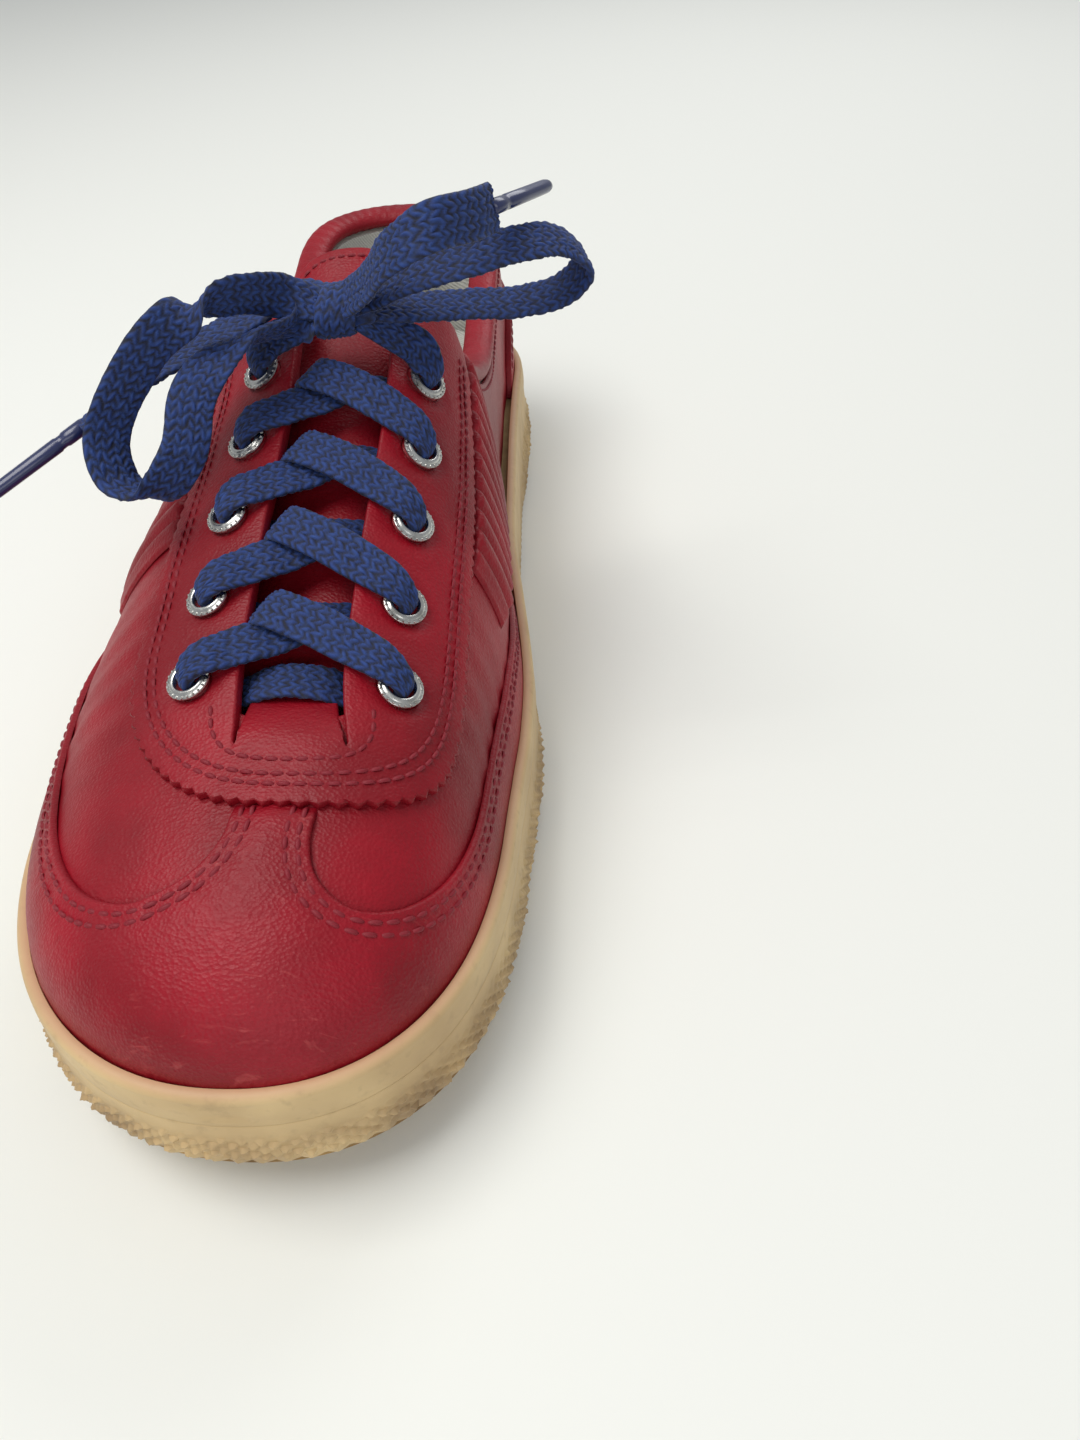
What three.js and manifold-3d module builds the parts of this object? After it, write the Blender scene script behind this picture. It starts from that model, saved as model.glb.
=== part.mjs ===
// A low lace-up leather trainer, right foot, laced and tied in a bow.
// Millimetres, +Z up. The toe points to -Y, the medial side is +X, and the floor is z = 0.
//
// The upper is made as a shoemaker makes it: every leather, foam and lining piece is cut flat in a
// pattern chart, then wrapped round the last at its own distance from the last's surface.
import * as THREE from "three";
import { mergeVertices } from "three/addons/utils/BufferGeometryUtils.js";
import Module from "manifold-3d";

const wasm = await Module();
wasm.setup();

// ---------------------------------------------------------------------------------------------
// Driving dimensions
// ---------------------------------------------------------------------------------------------
const LAST_LENGTH = 266; // heel point to toe point of the last
const PATTERN_LENGTH = 266; // the last for which the pattern's places were set
const along = (a) => (a * LAST_LENGTH) / PATTERN_LENGTH;
const BALL_WIDTH = 89; // of the last, across the ball
const HEEL_WIDTH = 55; // of the last, across the heel
const TOE_ROUNDING = 55; // length over which the toe's outline closes
const HEEL_ROUNDING = 30;
const TOE_CAP_ROUNDING = 32; // length over which the toe's top comes down
const INSTEP_RISE = 60; // how far the instep stands above the toe's top, at the collar's front

const CLEARANCE = 0.35; // between two pieces that touch
const LAYER_GAP = 0.6; // between two layers of the upper, for the cement and backing cloth
const LINING = 0.6; // textile thickness
const LEATHER = 1.2;

const EYELET_ROWS = 5;
const EYELET_PITCH = 17;
const EYELET_FROM_CREST = 17; // the front row's, along the surface from the crest
const EYELET_CLOSING = 0.45; // how much nearer the crest each further row is
const THROAT_HALF = 8.5; // half of the gap between the two facings
const FIRST_ROW = along(209); // the front row's distance from the last's heel point
const FACING_HALF = 30; // the lace facing's outer edge, from the middle line
const FACING_FRONT = along(232);
const FACING_BACK = along(122);
const PINK_PITCH = 2.8; // the zigzag cut along the facing's edge
const PINK_DEPTH = 0.9;

const RIBS = 11;
const RIB_PITCH = 5.1;
const RIB_HEIGHT = 1.6;
const RIB_BACK = along(116); // where the first rib starts
const RIB_BASE = 0.9;

const OUTSOLE = 4.5; // tread layer
const OUTSOLE_WRAP = 1.8; // thickness where it turns up round the toe and the heel
const LIP_HEIGHT = 3.4; // how far the sole's rim stands over the upper's lower edge
const RIM_WIDTH = 2.4; // how far the rim stands out from the leather
const BOARD = 2;
const TOE_SPRING = 8;
const FOOTBED = 4.6;
const SHANK_LENGTH = 96;
const SHANK_WIDTH = 13;
const SHANK = 1.2;

const COLLAR_PAD = 20; // height of the foam below the topline
const COLLAR_SWELL = 4.6; // how far the foam stands into the shoe
const STIFFENER_HEIGHT = 22;
const TONGUE_HALF = 25;
const TONGUE_FRONT = along(218); // the seam that the tongue swings on
const TONGUE_BACK = along(110);
const TONGUE_FOAM = 2.3;

const LACE_WIDTH = 8.4;
const LACE = 1.6; // thickness
const AGLET_LENGTH = 22;

// ---------------------------------------------------------------------------------------------
// Small mathematics
// ---------------------------------------------------------------------------------------------
const { sin, cos, PI, min, max, abs, sqrt, sign, hypot } = Math;
const clamp = (x, low, high) => min(high, max(low, x));
const mix = (a, b, t) => a + (b - a) * t;
const smooth = (from, to, x) => {
  const t = clamp((x - from) / (to - from), 0, 1);
  return t * t * (3 - 2 * t);
};

const steps = (from, to, count) => Array.from({ length: count + 1 }, (_, i) => mix(from, to, i / count));

// A smooth curve through [place, value] pairs, flat beyond its ends.
function through(pairs) {
  const slope = pairs.map((_, i) => {
    const a = pairs[max(i - 1, 0)];
    const b = pairs[min(i + 1, pairs.length - 1)];
    return (b[1] - a[1]) / (b[0] - a[0]);
  });
  return (x) => {
    if (x <= pairs[0][0]) return pairs[0][1];
    if (x >= pairs.at(-1)[0]) return pairs.at(-1)[1];
    const i = pairs.findIndex((p) => p[0] > x) - 1;
    const d = pairs[i + 1][0] - pairs[i][0];
    const t = (x - pairs[i][0]) / d;
    const h = t * t * (3 - 2 * t);
    const start = slope[i] * d * t * (1 - t) * (1 - t);
    const end = -slope[i + 1] * d * t * t * (1 - t);
    return mix(pairs[i][1], pairs[i + 1][1], h) + start + end;
  };
}

// Where a rising list of numbers reaches x, as a fractional index.
function indexOf(list, x) {
  if (x <= list[0]) return 0;
  let low = 0;
  let high = list.length - 1;
  if (x >= list[high]) return high;
  while (high - low > 1) {
    const middle = (low + high) >> 1;
    if (list[middle] <= x) low = middle;
    else high = middle;
  }
  return low + (x - list[low]) / (list[high] - list[low] || 1);
}
const at = (list, index) => {
  const i = clamp(Math.floor(index), 0, list.length - 2);
  return mix(list[i], list[i + 1], index - i);
};

// ---------------------------------------------------------------------------------------------
// The last: a foot-shaped form. Distances "a" run from its heel point to its toe point.
// ---------------------------------------------------------------------------------------------
const share = (pairs) => through(pairs.map(([t, v]) => [t * LAST_LENGTH, v]));
const ball = BALL_WIDTH / 2;
const halfWidth = share([
  [0, HEEL_WIDTH / 2],
  [0.17, HEEL_WIDTH / 2],
  [0.34, ball * 0.655],
  [0.43, ball * 0.7],
  [0.52, ball * 0.805],
  [0.62, ball * 0.925],
  [0.695, ball * 0.96],
  [0.75, ball * 0.945],
  [0.81, ball * 0.915],
  [0.88, ball * 0.895],
  [1, ball * 0.895],
]);
const middle = share([
  [0, 0],
  [0.23, 0],
  [0.38, 0],
  [0.52, -1.4],
  [0.63, -3.2],
  [0.74, -3.9],
  [0.86, -1.8],
  [1, 3.5],
]);
const crest = share([
  [0, 0],
  [0.23, 2],
  [0.42, 7],
  [0.57, 8],
  [0.7, 7],
  [0.78, 7.2],
  [0.87, 10],
  [0.95, 7.5],
  [1, 3.5],
]);
const TOE_TOP = 43.5;
const crestHeight = share(
  [
    [0, 1.24],
    [0.23, 1.2],
    [0.34, 1.07],
    [0.42, 0.925],
    [0.48, 0.79],
    [0.535, 0.665],
    [0.61, 0.53],
    [0.67, 0.43],
    [0.725, 0.33],
    [0.795, 0.23],
    [0.84, 0.16],
    [0.9, 0.085],
    [0.95, 0.033],
    [1, 0],
  ].map(([t, v]) => [t, TOE_TOP + v * INSTEP_RISE]),
);
const featherHeight = share([
  [0, 27],
  [0.15, 25.5],
  [0.34, 22.5],
  [0.57, 20.5],
  [0.72, 20.5],
  [0.855, 22.5],
  [1, 27.5],
]);
const squareness = share([
  [0, 2.7],
  [0.3, 2.6],
  [0.46, 2.2],
  [0.61, 2],
  [0.76, 2.05],
  [0.91, 2.2],
  [1, 2.2],
]);
// The medial shoulder of the instep is fuller than the lateral one.
const MEDIAL_FULLNESS = 0.13;
const LATERAL_HOLLOW = 0.07;
const fullness = (a, side) => {
  const instep = smooth(85, 130, a) * (1 - smooth(215, 245, a));
  return squareness(a) * (1 + instep * (side > 0 ? MEDIAL_FULLNESS : -LATERAL_HOLLOW));
};
const closing = (left, length, power) => (1 - (1 - clamp(left / length, 0, 1)) ** power) ** (1 / power);
const HEEL_BULGE = 3.2; // the back line leans forward above and below this much of its height
const heelLean = (a, z) => {
  const up = (z - 42) / 32;
  return HEEL_BULGE * up * up * (1 - smooth(0, 60, a));
};

// One point of the last. turn is 0 on the crest and 1 on the feather line, where the upper meets the sole.
function lastPoint(a, turn, side) {
  const closeHeel = closing(a, HEEL_ROUNDING, 2.3);
  const closeToe = closing(LAST_LENGTH - a, TOE_ROUNDING, 2.2);
  const half = halfWidth(a) * closeHeel * closeToe;
  const low = featherHeight(a);
  const high = low + (crestHeight(a) - low) * closing(LAST_LENGTH - a, TOE_CAP_ROUNDING, 2.4);
  const power = 2 / fullness(a, side);
  const angle = ((1 - turn) * PI) / 2;
  const edge = middle(a) + side * half;
  const ridge = mix(middle(a), crest(a), closeToe * closeHeel);
  const x = ridge + (edge - ridge) * max(cos(angle), 0) ** power;
  const z = low + (high - low) * max(sin(angle), 0) ** power;
  return new THREE.Vector3(x, -a - heelLean(a, z), z);
}

// Stations lie closer together at the two round ends.
const STATIONS = 160;
const LEVELS = 60;
const stationAt = (i) => (LAST_LENGTH * (1 - cos((PI * i) / STATIONS))) / 2;
const stationOf = (a) => (STATIONS * Math.acos(clamp(1 - (2 * a) / LAST_LENGTH, -1, 1))) / PI;
const lastAt = (i, level, side) => lastPoint(stationAt(clamp(i, 0, STATIONS)), clamp(level, 0, LEVELS) / LEVELS, side);

// Girth from the crest down to each level, at each station, and the two long lines.
const girths = {};
const featherRun = {};
for (const side of [1, -1]) {
  girths[side] = [];
  featherRun[side] = [0];
  for (let i = 0; i <= STATIONS; i++) {
    const run = [0];
    for (let l = 1; l <= LEVELS; l++) {
      run.push(run[l - 1] + lastAt(i, l, side).distanceTo(lastAt(i, l - 1, side)));
    }
    girths[side].push(run);
    if (i) featherRun[side].push(featherRun[side][i - 1] + lastAt(i, LEVELS, side).distanceTo(lastAt(i - 1, LEVELS, side)));
  }
}
const crestRun = [0];
for (let i = 1; i <= STATIONS; i++) crestRun.push(crestRun[i - 1] + lastAt(i, 0, 1).distanceTo(lastAt(i - 1, 0, 1)));

function girthTo(station, level, side) {
  const i = clamp(Math.floor(station), 0, STATIONS - 1);
  return mix(at(girths[side][i], level), at(girths[side][i + 1], level), station - i);
}
function levelAt(station, girth, side) {
  const i = clamp(Math.floor(station), 0, STATIONS - 1);
  return mix(indexOf(girths[side][i], girth), indexOf(girths[side][i + 1], girth), station - i);
}
const wholeGirth = (a, side) => girthTo(stationOf(a), LEVELS, side);

// The place "lift" mm outside the last's surface.
function outside(station, level, side, lift) {
  const s = clamp(station, 0.4, STATIONS - 0.4);
  const l = clamp(level, 0, LEVELS - 0.02);
  const p = lastAt(station, level, side);
  const along = lastAt(s + 0.3, l, side).sub(lastAt(s - 0.3, l, side));
  const other = l < 0.3 ? lastAt(s, 0.3 - l, -side) : lastAt(s, l - 0.3, side);
  const down = lastAt(s, l + 0.3, side).sub(other);
  const normal = along.cross(down).multiplyScalar(side).normalize();
  if (level > LEVELS - 1) normal.setZ(0).normalize();
  return { point: p.clone().addScaledVector(normal, lift), normal };
}

// ---------------------------------------------------------------------------------------------
// Pattern charts. "over" crosses the crest: long way along the crest, cross way from the crest.
// "around" crosses the heel: long way along the feather line, cross way up from that line.
// ---------------------------------------------------------------------------------------------
const lines = (...spans) =>
  spans.flatMap(([from, to, gap]) => {
    const count = Math.ceil((to - from) / gap);
    return Array.from({ length: count }, (_, i) => mix(from, to, i / count));
  });
const mirrored = (list) => [...list.slice(1).reverse().map((x) => -x), ...list];
const over = {
  us: lines([0, 205, 14], [205, 235, 8], [235, 420, 5]),
  vs: mirrored(lines([0, 160, 6.6])),
  fineVs: mirrored(lines([0, 160, 5])),
  flat: (a, q) => [at(crestRun, stationOf(a)), q],
  last([u, q]) {
    const station = indexOf(crestRun, u);
    const side = q < 0 ? -1 : 1;
    return [station, levelAt(station, abs(q), side), side];
  },
};
const around = {
  us: mirrored(lines([0, 48, 8], [48, 190, 15], [190, 420, 7.5])),
  vs: lines([-7, 28, 6], [28, 150, 9]),
  // side times distance from the heel; height is girth up from the feather line
  flat: (a, height, side) => [side * at(featherRun[side], stationOf(a)), height],
  last([u, height]) {
    const side = u < 0 ? -1 : 1;
    const station = indexOf(featherRun[side], abs(u));
    return [station, levelAt(station, girthTo(station, LEVELS, side) - height, side), side];
  },
};
const fromCrest = (a, q, side) => around.flat(a, wholeGirth(a, side) - q, side);
// Girth height at which the wall reaches the level z.
function heightAt(a, z, side) {
  const station = stationOf(a);
  let low = 0;
  let high = LEVELS;
  for (let i = 0; i < 24; i++) {
    const l = (low + high) / 2;
    if (lastAt(station, l, side).z > z) low = l;
    else high = l;
  }
  return girthTo(station, LEVELS, side) - girthTo(station, low, side);
}
const onSurface = (a, q, lift) => {
  const [station, level, side] = over.last(over.flat(a, q));
  return outside(station, level, side, lift);
};

// ---------------------------------------------------------------------------------------------
// Solids
// ---------------------------------------------------------------------------------------------
function solidOf(geometry) {
  const bare = geometry.clone();
  for (const name of Object.keys(bare.attributes)) if (name !== "position") bare.deleteAttribute(name);
  const merged = mergeVertices(bare, 1e-4);
  return new wasm.Manifold(
    new wasm.Mesh({
      numProp: 3,
      vertProperties: new Float32Array(merged.attributes.position.array),
      triVerts: new Uint32Array(merged.index.array),
    }),
  );
}
function geometryOf(solid, place = (p) => p) {
  const { vertProperties, triVerts, numProp } = solid.getMesh();
  const points = [];
  for (let i = 0; i < vertProperties.length; i += numProp) {
    points.push(...place(new THREE.Vector3().fromArray(vertProperties, i)).toArray());
  }
  return new THREE.BufferGeometry()
    .setAttribute("position", new THREE.Float32BufferAttribute(points, 3))
    .setIndex([...triVerts]);
}
function meshOf(points, faces) {
  return new THREE.BufferGeometry()
    .setAttribute("position", new THREE.Float32BufferAttribute(points.flatMap((p) => p.toArray()), 3))
    .setIndex(faces);
}

// A flat piece with the outline and holes given, wrapped round the last. inner and outer are its two
// distances from the last, as numbers or as functions of the chart place.
// The flat piece is bowed while it is cut, so that the cut keeps the grid's points, and then unbowed.
const BOW = 0.002;
function covering(list, low, high) {
  const first = list.findLastIndex((x) => x < low - 0.2);
  const last = list.findIndex((x) => x > high + 0.2);
  return list.slice(max(first, 0), last < 0 ? undefined : last + 1);
}
function wrap({ chart, outline, holes = [], inner, outer, us: uLines = chart.us, vs: vLines = chart.vs }) {
  const us = outline.map((p) => p[0]);
  const vs = outline.map((p) => p[1]);
  const [u0, u1, v0, v1] = [min(...us), max(...us), min(...vs), max(...vs)];
  const [uc, vc] = [(u0 + u1) / 2, (v0 + v1) / 2];
  const bow = (u, v) => BOW * ((u - uc) ** 2 + (v - vc) ** 2);
  const across = covering(uLines, u0, u1);
  const up = covering(vLines, v0, v1);
  const slab = new THREE.BoxGeometry(1, 1, 1, across.length - 1, up.length - 1, 1);
  const box = slab.attributes.position;
  for (let i = 0; i < box.count; i++) {
    const u = across[Math.round((box.getX(i) + 0.5) * (across.length - 1))];
    const v = up[Math.round((box.getY(i) + 0.5) * (up.length - 1))];
    box.setXYZ(i, u, v, box.getZ(i) + 0.5 + bow(u, v));
  }
  const loop = (places) => {
    const points = places.map((p) => new THREE.Vector2(...p));
    return THREE.ShapeUtils.isClockWise(points) ? points.reverse() : points;
  };
  const shape = new THREE.Shape(loop(outline));
  shape.holes = holes.map((h) => new THREE.Path(loop(h)));
  const depth = 4 + bow(u0 - 12, v0 - 12) * 2;
  const cutter = new THREE.ExtrudeGeometry(shape, { depth, bevelEnabled: false, curveSegments: 1 });
  cutter.translate(0, 0, -1);
  const cut = solidOf(slab).intersect(solidOf(cutter));
  const value = (f, p) => (typeof f === "function" ? f(p) : f);
  return outward(
    geometryOf(cut, (p) => {
      const place = [p.x, p.y];
      const lift = mix(value(inner, place), value(outer, place), p.z - bow(p.x, p.y));
      return outside(...chart.last(place), lift).point;
    }),
  );
}

// A ring of points round the sole: up the medial side from the heel, and back down the lateral side.
const SOLE_STEPS = 30;
function ring(offset, height) {
  const points = [];
  for (let k = 0; k < 2 * SOLE_STEPS; k++) {
    const side = k <= SOLE_STEPS ? 1 : -1;
    const step = side > 0 ? k : 2 * SOLE_STEPS - k;
    const station = (STATIONS * step) / SOLE_STEPS;
    const a = stationAt(station);
    const p = outside(station, LEVELS, side, typeof offset === "function" ? offset(a) : offset).point;
    points.push(p.setZ(height(a)));
  }
  return points;
}
// Rings joined one after another; the first and the last are closed by rungs from side to side.
function ringSolid(rings) {
  const n = rings[0].length;
  const faces = [];
  const quad = (a, b, c, d) => faces.push(a, b, c, a, c, d);
  rings.slice(1).forEach((_, r) => {
    for (let k = 0; k < n; k++) {
      const next = (k + 1) % n;
      quad(r * n + k, r * n + next, (r + 1) * n + next, (r + 1) * n + k);
    }
  });
  const cap = (base, flip) => {
    for (let k = 0; k < n / 2; k++) {
      const loop = [base + k, base + k + 1, base + ((n - k - 1) % n), base + ((n - k) % n)];
      if (flip) loop.reverse();
      const [a, b, c, d] = loop;
      if (b !== c && a !== d) quad(a, b, c, d);
      else if (b === c) faces.push(a, b, d);
      else faces.push(a, b, c);
    }
  };
  cap(0, true);
  cap((rings.length - 1) * n, false);
  return meshOf(rings.flat(), faces);
}
const outward = (geometry) => {
  if (solidOf(geometry).volume() >= 0) return geometry;
  const index = [...geometry.index.array];
  for (let i = 0; i < index.length; i += 3) [index[i + 1], index[i + 2]] = [index[i + 2], index[i + 1]];
  return geometry.clone().setIndex(index);
};
// A flat or round strand: a section of six sides carried along points, each with the
// direction of its width and its half width and half thickness.
const SECTION = 6;
function strand(stops) {
  const points = [];
  stops.forEach((stop, i) => {
    const before = stops[max(i - 1, 0)].point;
    const after = stops[min(i + 1, stops.length - 1)].point;
    const run = after.clone().sub(before).normalize();
    const width = stop.width.clone().addScaledVector(run, -stop.width.dot(run)).normalize();
    const thick = run.clone().cross(width);
    for (let k = 0; k < SECTION; k++) {
      const angle = (k * 2 * PI) / SECTION;
      const x = sign(cos(angle)) * abs(cos(angle)) ** 0.3 * stop.half;
      const y = (sin(angle) * stop.thin) / sin(PI / 3);
      points.push(stop.point.clone().addScaledVector(width, x).addScaledVector(thick, y));
    }
  });
  const faces = [];
  for (let i = 0; i < stops.length - 1; i++) {
    for (let k = 0; k < SECTION; k++) {
      const [a, b] = [i * SECTION + k, i * SECTION + ((k + 1) % SECTION)];
      faces.push(a, b, b + SECTION, a, b + SECTION, a + SECTION);
    }
  }
  const last = (stops.length - 1) * SECTION;
  for (let k = 1; k < SECTION - 1; k++) {
    faces.push(0, k + 1, k);
    faces.push(last, last + k, last + k + 1);
  }
  return outward(meshOf(points, faces));
}

// ---------------------------------------------------------------------------------------------
// Materials and the group
// ---------------------------------------------------------------------------------------------
const finish = (color, roughness, metalness = 0) => new THREE.MeshStandardMaterial({ color, roughness, metalness });
const redLeather = finish(0xa3121f, 0.5);
const cream = finish(0xd9c48c, 0.7);
const tread = finish(0xc9bb92, 0.85);
const textile = finish(0xb9b6ac, 0.95);
const foam = finish(0xe6e2d6, 0.9);
const board = finish(0xb99b6b, 0.9);
const stiff = finish(0xcfc7b0, 0.8);
const steel = finish(0xc4c4c2, 0.3, 1);
const blueLace = finish(0x16407f, 0.75);
const aglet = finish(0x26305a, 0.3);

const part = new THREE.Group();
const shoe = new THREE.Group();
const laces = new THREE.Group();
part.add(shoe, laces);
const add = (group, name, geometry, material) => {
  const mesh = new THREE.Mesh(geometry, material);
  mesh.name = name;
  group.add(mesh);
  return mesh;
};

// ---------------------------------------------------------------------------------------------
// Layers, as distances from the last
// ---------------------------------------------------------------------------------------------
const quarterIn = LINING + LAYER_GAP + 0.15;
const quarterOut = quarterIn + LEATHER;
const overlayIn = quarterOut + LAYER_GAP;
const overlayOut = overlayIn + LEATHER;

// ---------------------------------------------------------------------------------------------
// Sole unit
// ---------------------------------------------------------------------------------------------
const spring = (a) => TOE_SPRING * smooth(0.7 * LAST_LENGTH, 1.12 * LAST_LENGTH, a) * 1.6 + 1.5 * (1 - smooth(0, 14, a));
const rimOut = overlayOut + RIM_WIDTH;
const soleTop = (a) => spring(a) + OUTSOLE;
const boardTop = (a) => featherHeight(a) - CLEARANCE;
const boardUnder = (a) => boardTop(a) - BOARD;
const cupFloor = (a) => boardUnder(a) - CLEARANCE;
// The tread layer turns up the wall round the forefoot and the heel, and stays low at the waist.
const WRAP_BELOW_RIM = 8;
const TREAD_FLARE = 1.4; // how far the tread stands out beyond the rim
const wrapShare = (a) => max(smooth(160, 176, a), 1 - smooth(52, 70, a));
const wrapTop = (a) => mix(soleTop(a) + 1.8, featherHeight(a) + LIP_HEIGHT - WRAP_BELOW_RIM, wrapShare(a));
const flare = (a) => rimOut + TREAD_FLARE * mix(0.3, 1, wrapShare(a));
const wrapOut = (a) => rimOut + 0.3 * wrapShare(a);

const outsole = ringSolid([
  ring(rimOut - 3.5, spring),
  ring((a) => flare(a) - 1, (a) => spring(a) + 0.9),
  ring(flare, (a) => spring(a) + OUTSOLE - 1),
  ring(wrapOut, wrapTop),
  ring(rimOut - OUTSOLE_WRAP, wrapTop),
  ring(rimOut - OUTSOLE_WRAP, soleTop),
]);
add(shoe, "outsole", outward(outsole), tread);

const cupWall = (a) => overlayOut + 2 * CLEARANCE + 0.6 * (1 - smooth(0, 40, a));
const midsoleBody = ringSolid([
  ring(rimOut - OUTSOLE_WRAP - CLEARANCE, (a) => soleTop(a) + CLEARANCE),
  ring(rimOut - OUTSOLE_WRAP - CLEARANCE, (a) => wrapTop(a) + CLEARANCE),
  ring(rimOut - 0.3, (a) => wrapTop(a) + CLEARANCE),
  ring(rimOut, (a) => featherHeight(a) + LIP_HEIGHT - 2),
  ring(rimOut - 0.8, (a) => featherHeight(a) + LIP_HEIGHT),
  ring(cupWall, (a) => featherHeight(a) + LIP_HEIGHT),
  ring(cupWall, cupFloor),
]);

// A strip along the shoe's middle line, between two heights.
function strip(from, to, half, under, top, steps = 10) {
  const stops = [];
  for (let i = 0; i <= steps; i++) {
    const a = mix(from, to, i / steps);
    stops.push([a, middle(a)]);
  }
  const points = [];
  for (const [a, x] of stops) {
    for (const [dx, z] of [[-half, under(a)], [half, under(a)], [half, top(a)], [-half, top(a)]]) {
      points.push(new THREE.Vector3(x + dx, -a, z));
    }
  }
  const faces = [];
  for (let i = 0; i < steps; i++) {
    for (let k = 0; k < 4; k++) {
      const [a, b] = [i * 4 + k, i * 4 + ((k + 1) % 4)];
      faces.push(a, b, b + 4, a, b + 4, a + 4);
    }
  }
  const end = steps * 4;
  faces.push(0, 2, 1, 0, 3, 2, end, end + 1, end + 2, end, end + 2, end + 3);
  return outward(meshOf(points, faces));
}
const SHANK_START = along(58);
const shankEnd = SHANK_START + SHANK_LENGTH;
const pocket = strip(
  SHANK_START - CLEARANCE,
  shankEnd + CLEARANCE,
  SHANK_WIDTH / 2 + CLEARANCE,
  (a) => cupFloor(a) - SHANK - CLEARANCE,
  (a) => cupFloor(a) + 1,
);
add(shoe, "midsole", geometryOf(solidOf(outward(midsoleBody)).subtract(solidOf(pocket))), cream);
add(
  shoe,
  "shank",
  strip(SHANK_START, shankEnd, SHANK_WIDTH / 2, (a) => cupFloor(a) - SHANK, cupFloor),
  steel,
);
add(shoe, "insole_board", outward(ringSolid([ring(overlayOut, boardUnder), ring(overlayOut, boardTop)])), board);

const FOOTBED_INSET = 3;
const COVER = 0.8;
const footbedUnder = (a) => featherHeight(a) + CLEARANCE;
const footbedTop = (a) => footbedUnder(a) + FOOTBED;
const coverUnder = (a) => footbedTop(a) + CLEARANCE;
add(
  shoe,
  "footbed_foam",
  outward(ringSolid([ring(-FOOTBED_INSET, footbedUnder), ring(-FOOTBED_INSET, footbedTop)])),
  foam,
);
add(
  shoe,
  "footbed_cover",
  outward(ringSolid([ring(-FOOTBED_INSET, coverUnder), ring(-FOOTBED_INSET, (a) => coverUnder(a) + COVER)])),
  textile,
);

// ---------------------------------------------------------------------------------------------
// The topline, and how far the lining is pushed in by the foam and the heel stiffener
// ---------------------------------------------------------------------------------------------
const TOPLINE_BACK = 68;
const topline = share([
  [0, TOPLINE_BACK],
  [0.06, TOPLINE_BACK - 1],
  [0.15, TOPLINE_BACK - 6.5],
  [0.25, TOPLINE_BACK - 12],
  [0.32, TOPLINE_BACK - 11],
  [0.4, TOPLINE_BACK - 3],
  [0.45, TOPLINE_BACK + 7],
]);
const BINDING_HALF_HEIGHT = 2.3;
const toplinePlaces = (from, to, count) => steps(stationOf(from), stationOf(to), count).map(stationAt);
const edgeHeight = (a, side) => heightAt(a, topline(a) - BINDING_HALF_HEIGHT, side);
const COLLAR_FRONT = along(114); // where the rolled edge starts, next to the facing
const placeOf = ([u, height]) => {
  const side = u < 0 ? -1 : 1;
  return { a: stationAt(indexOf(featherRun[side], abs(u))), side, height };
};
const padShare = (place) => {
  const { a, side, height } = placeOf(place);
  const bottom = edgeHeight(a, side) - COLLAR_PAD;
  return smooth(bottom - 7, bottom + 1, height) * (1 - smooth(COLLAR_FRONT - 14, COLLAR_FRONT - 2, a));
};
const STIFFENER_REACH = 50; // along the feather line, each way from the heel
const stiffenerShare = ([u]) => 1 - smooth(STIFFENER_REACH + 11, STIFFENER_REACH + 24, abs(u));
const liningPush = (place) => max(COLLAR_SWELL * padShare(place), (LEATHER + CLEARANCE) * stiffenerShare(place));

// ---------------------------------------------------------------------------------------------
// Upper: outlines in the charts
// ---------------------------------------------------------------------------------------------
const circle = ([u, v], radius, sides = 10) =>
  steps(0, 2 * PI, sides)
    .slice(0, -1)
    .map((angle) => [u + radius * cos(angle), v + radius * sin(angle)]);
const curve = (points, count) =>
  new THREE.CatmullRomCurve3(points.map((p) => new THREE.Vector3(p[0], p[1], 0)), false, "centripetal")
    .getSpacedPoints(count)
    .map((p) => [p.x, p.y]);

const eyeletRows = steps(0, EYELET_ROWS - 1, EYELET_ROWS - 1).map((i) => FIRST_ROW - i * EYELET_PITCH);
const eyeletFrom = (a) => EYELET_FROM_CREST - (EYELET_CLOSING * (FIRST_ROW - a)) / EYELET_PITCH;
const BARREL = 2.8;
const HOLE = BARREL + 2.4 * CLEARANCE;
const THROAT_FRONT = FIRST_ROW + 6;

// The seam where the toe piece lies over the two side lobes: [distance, share of the girth].
const SEAM = [
  [228, 0.13],
  [238, 0.14],
  [243.5, 0.22],
  [246.5, 0.38],
  [245, 0.52],
  [239.5, 0.63],
  [228, 0.71],
  [212, 0.745],
  [192, 0.76],
  [170, 0.8],
  [150, 0.88],
  [136, 0.98],
].map(([a, part]) => [along(a), part]);
const seam = (side, from = 0) =>
  curve(
    SEAM.map(([a, part]) => over.flat(a, side * part * wholeGirth(a, side))),
    30,
  ).slice(from);

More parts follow.
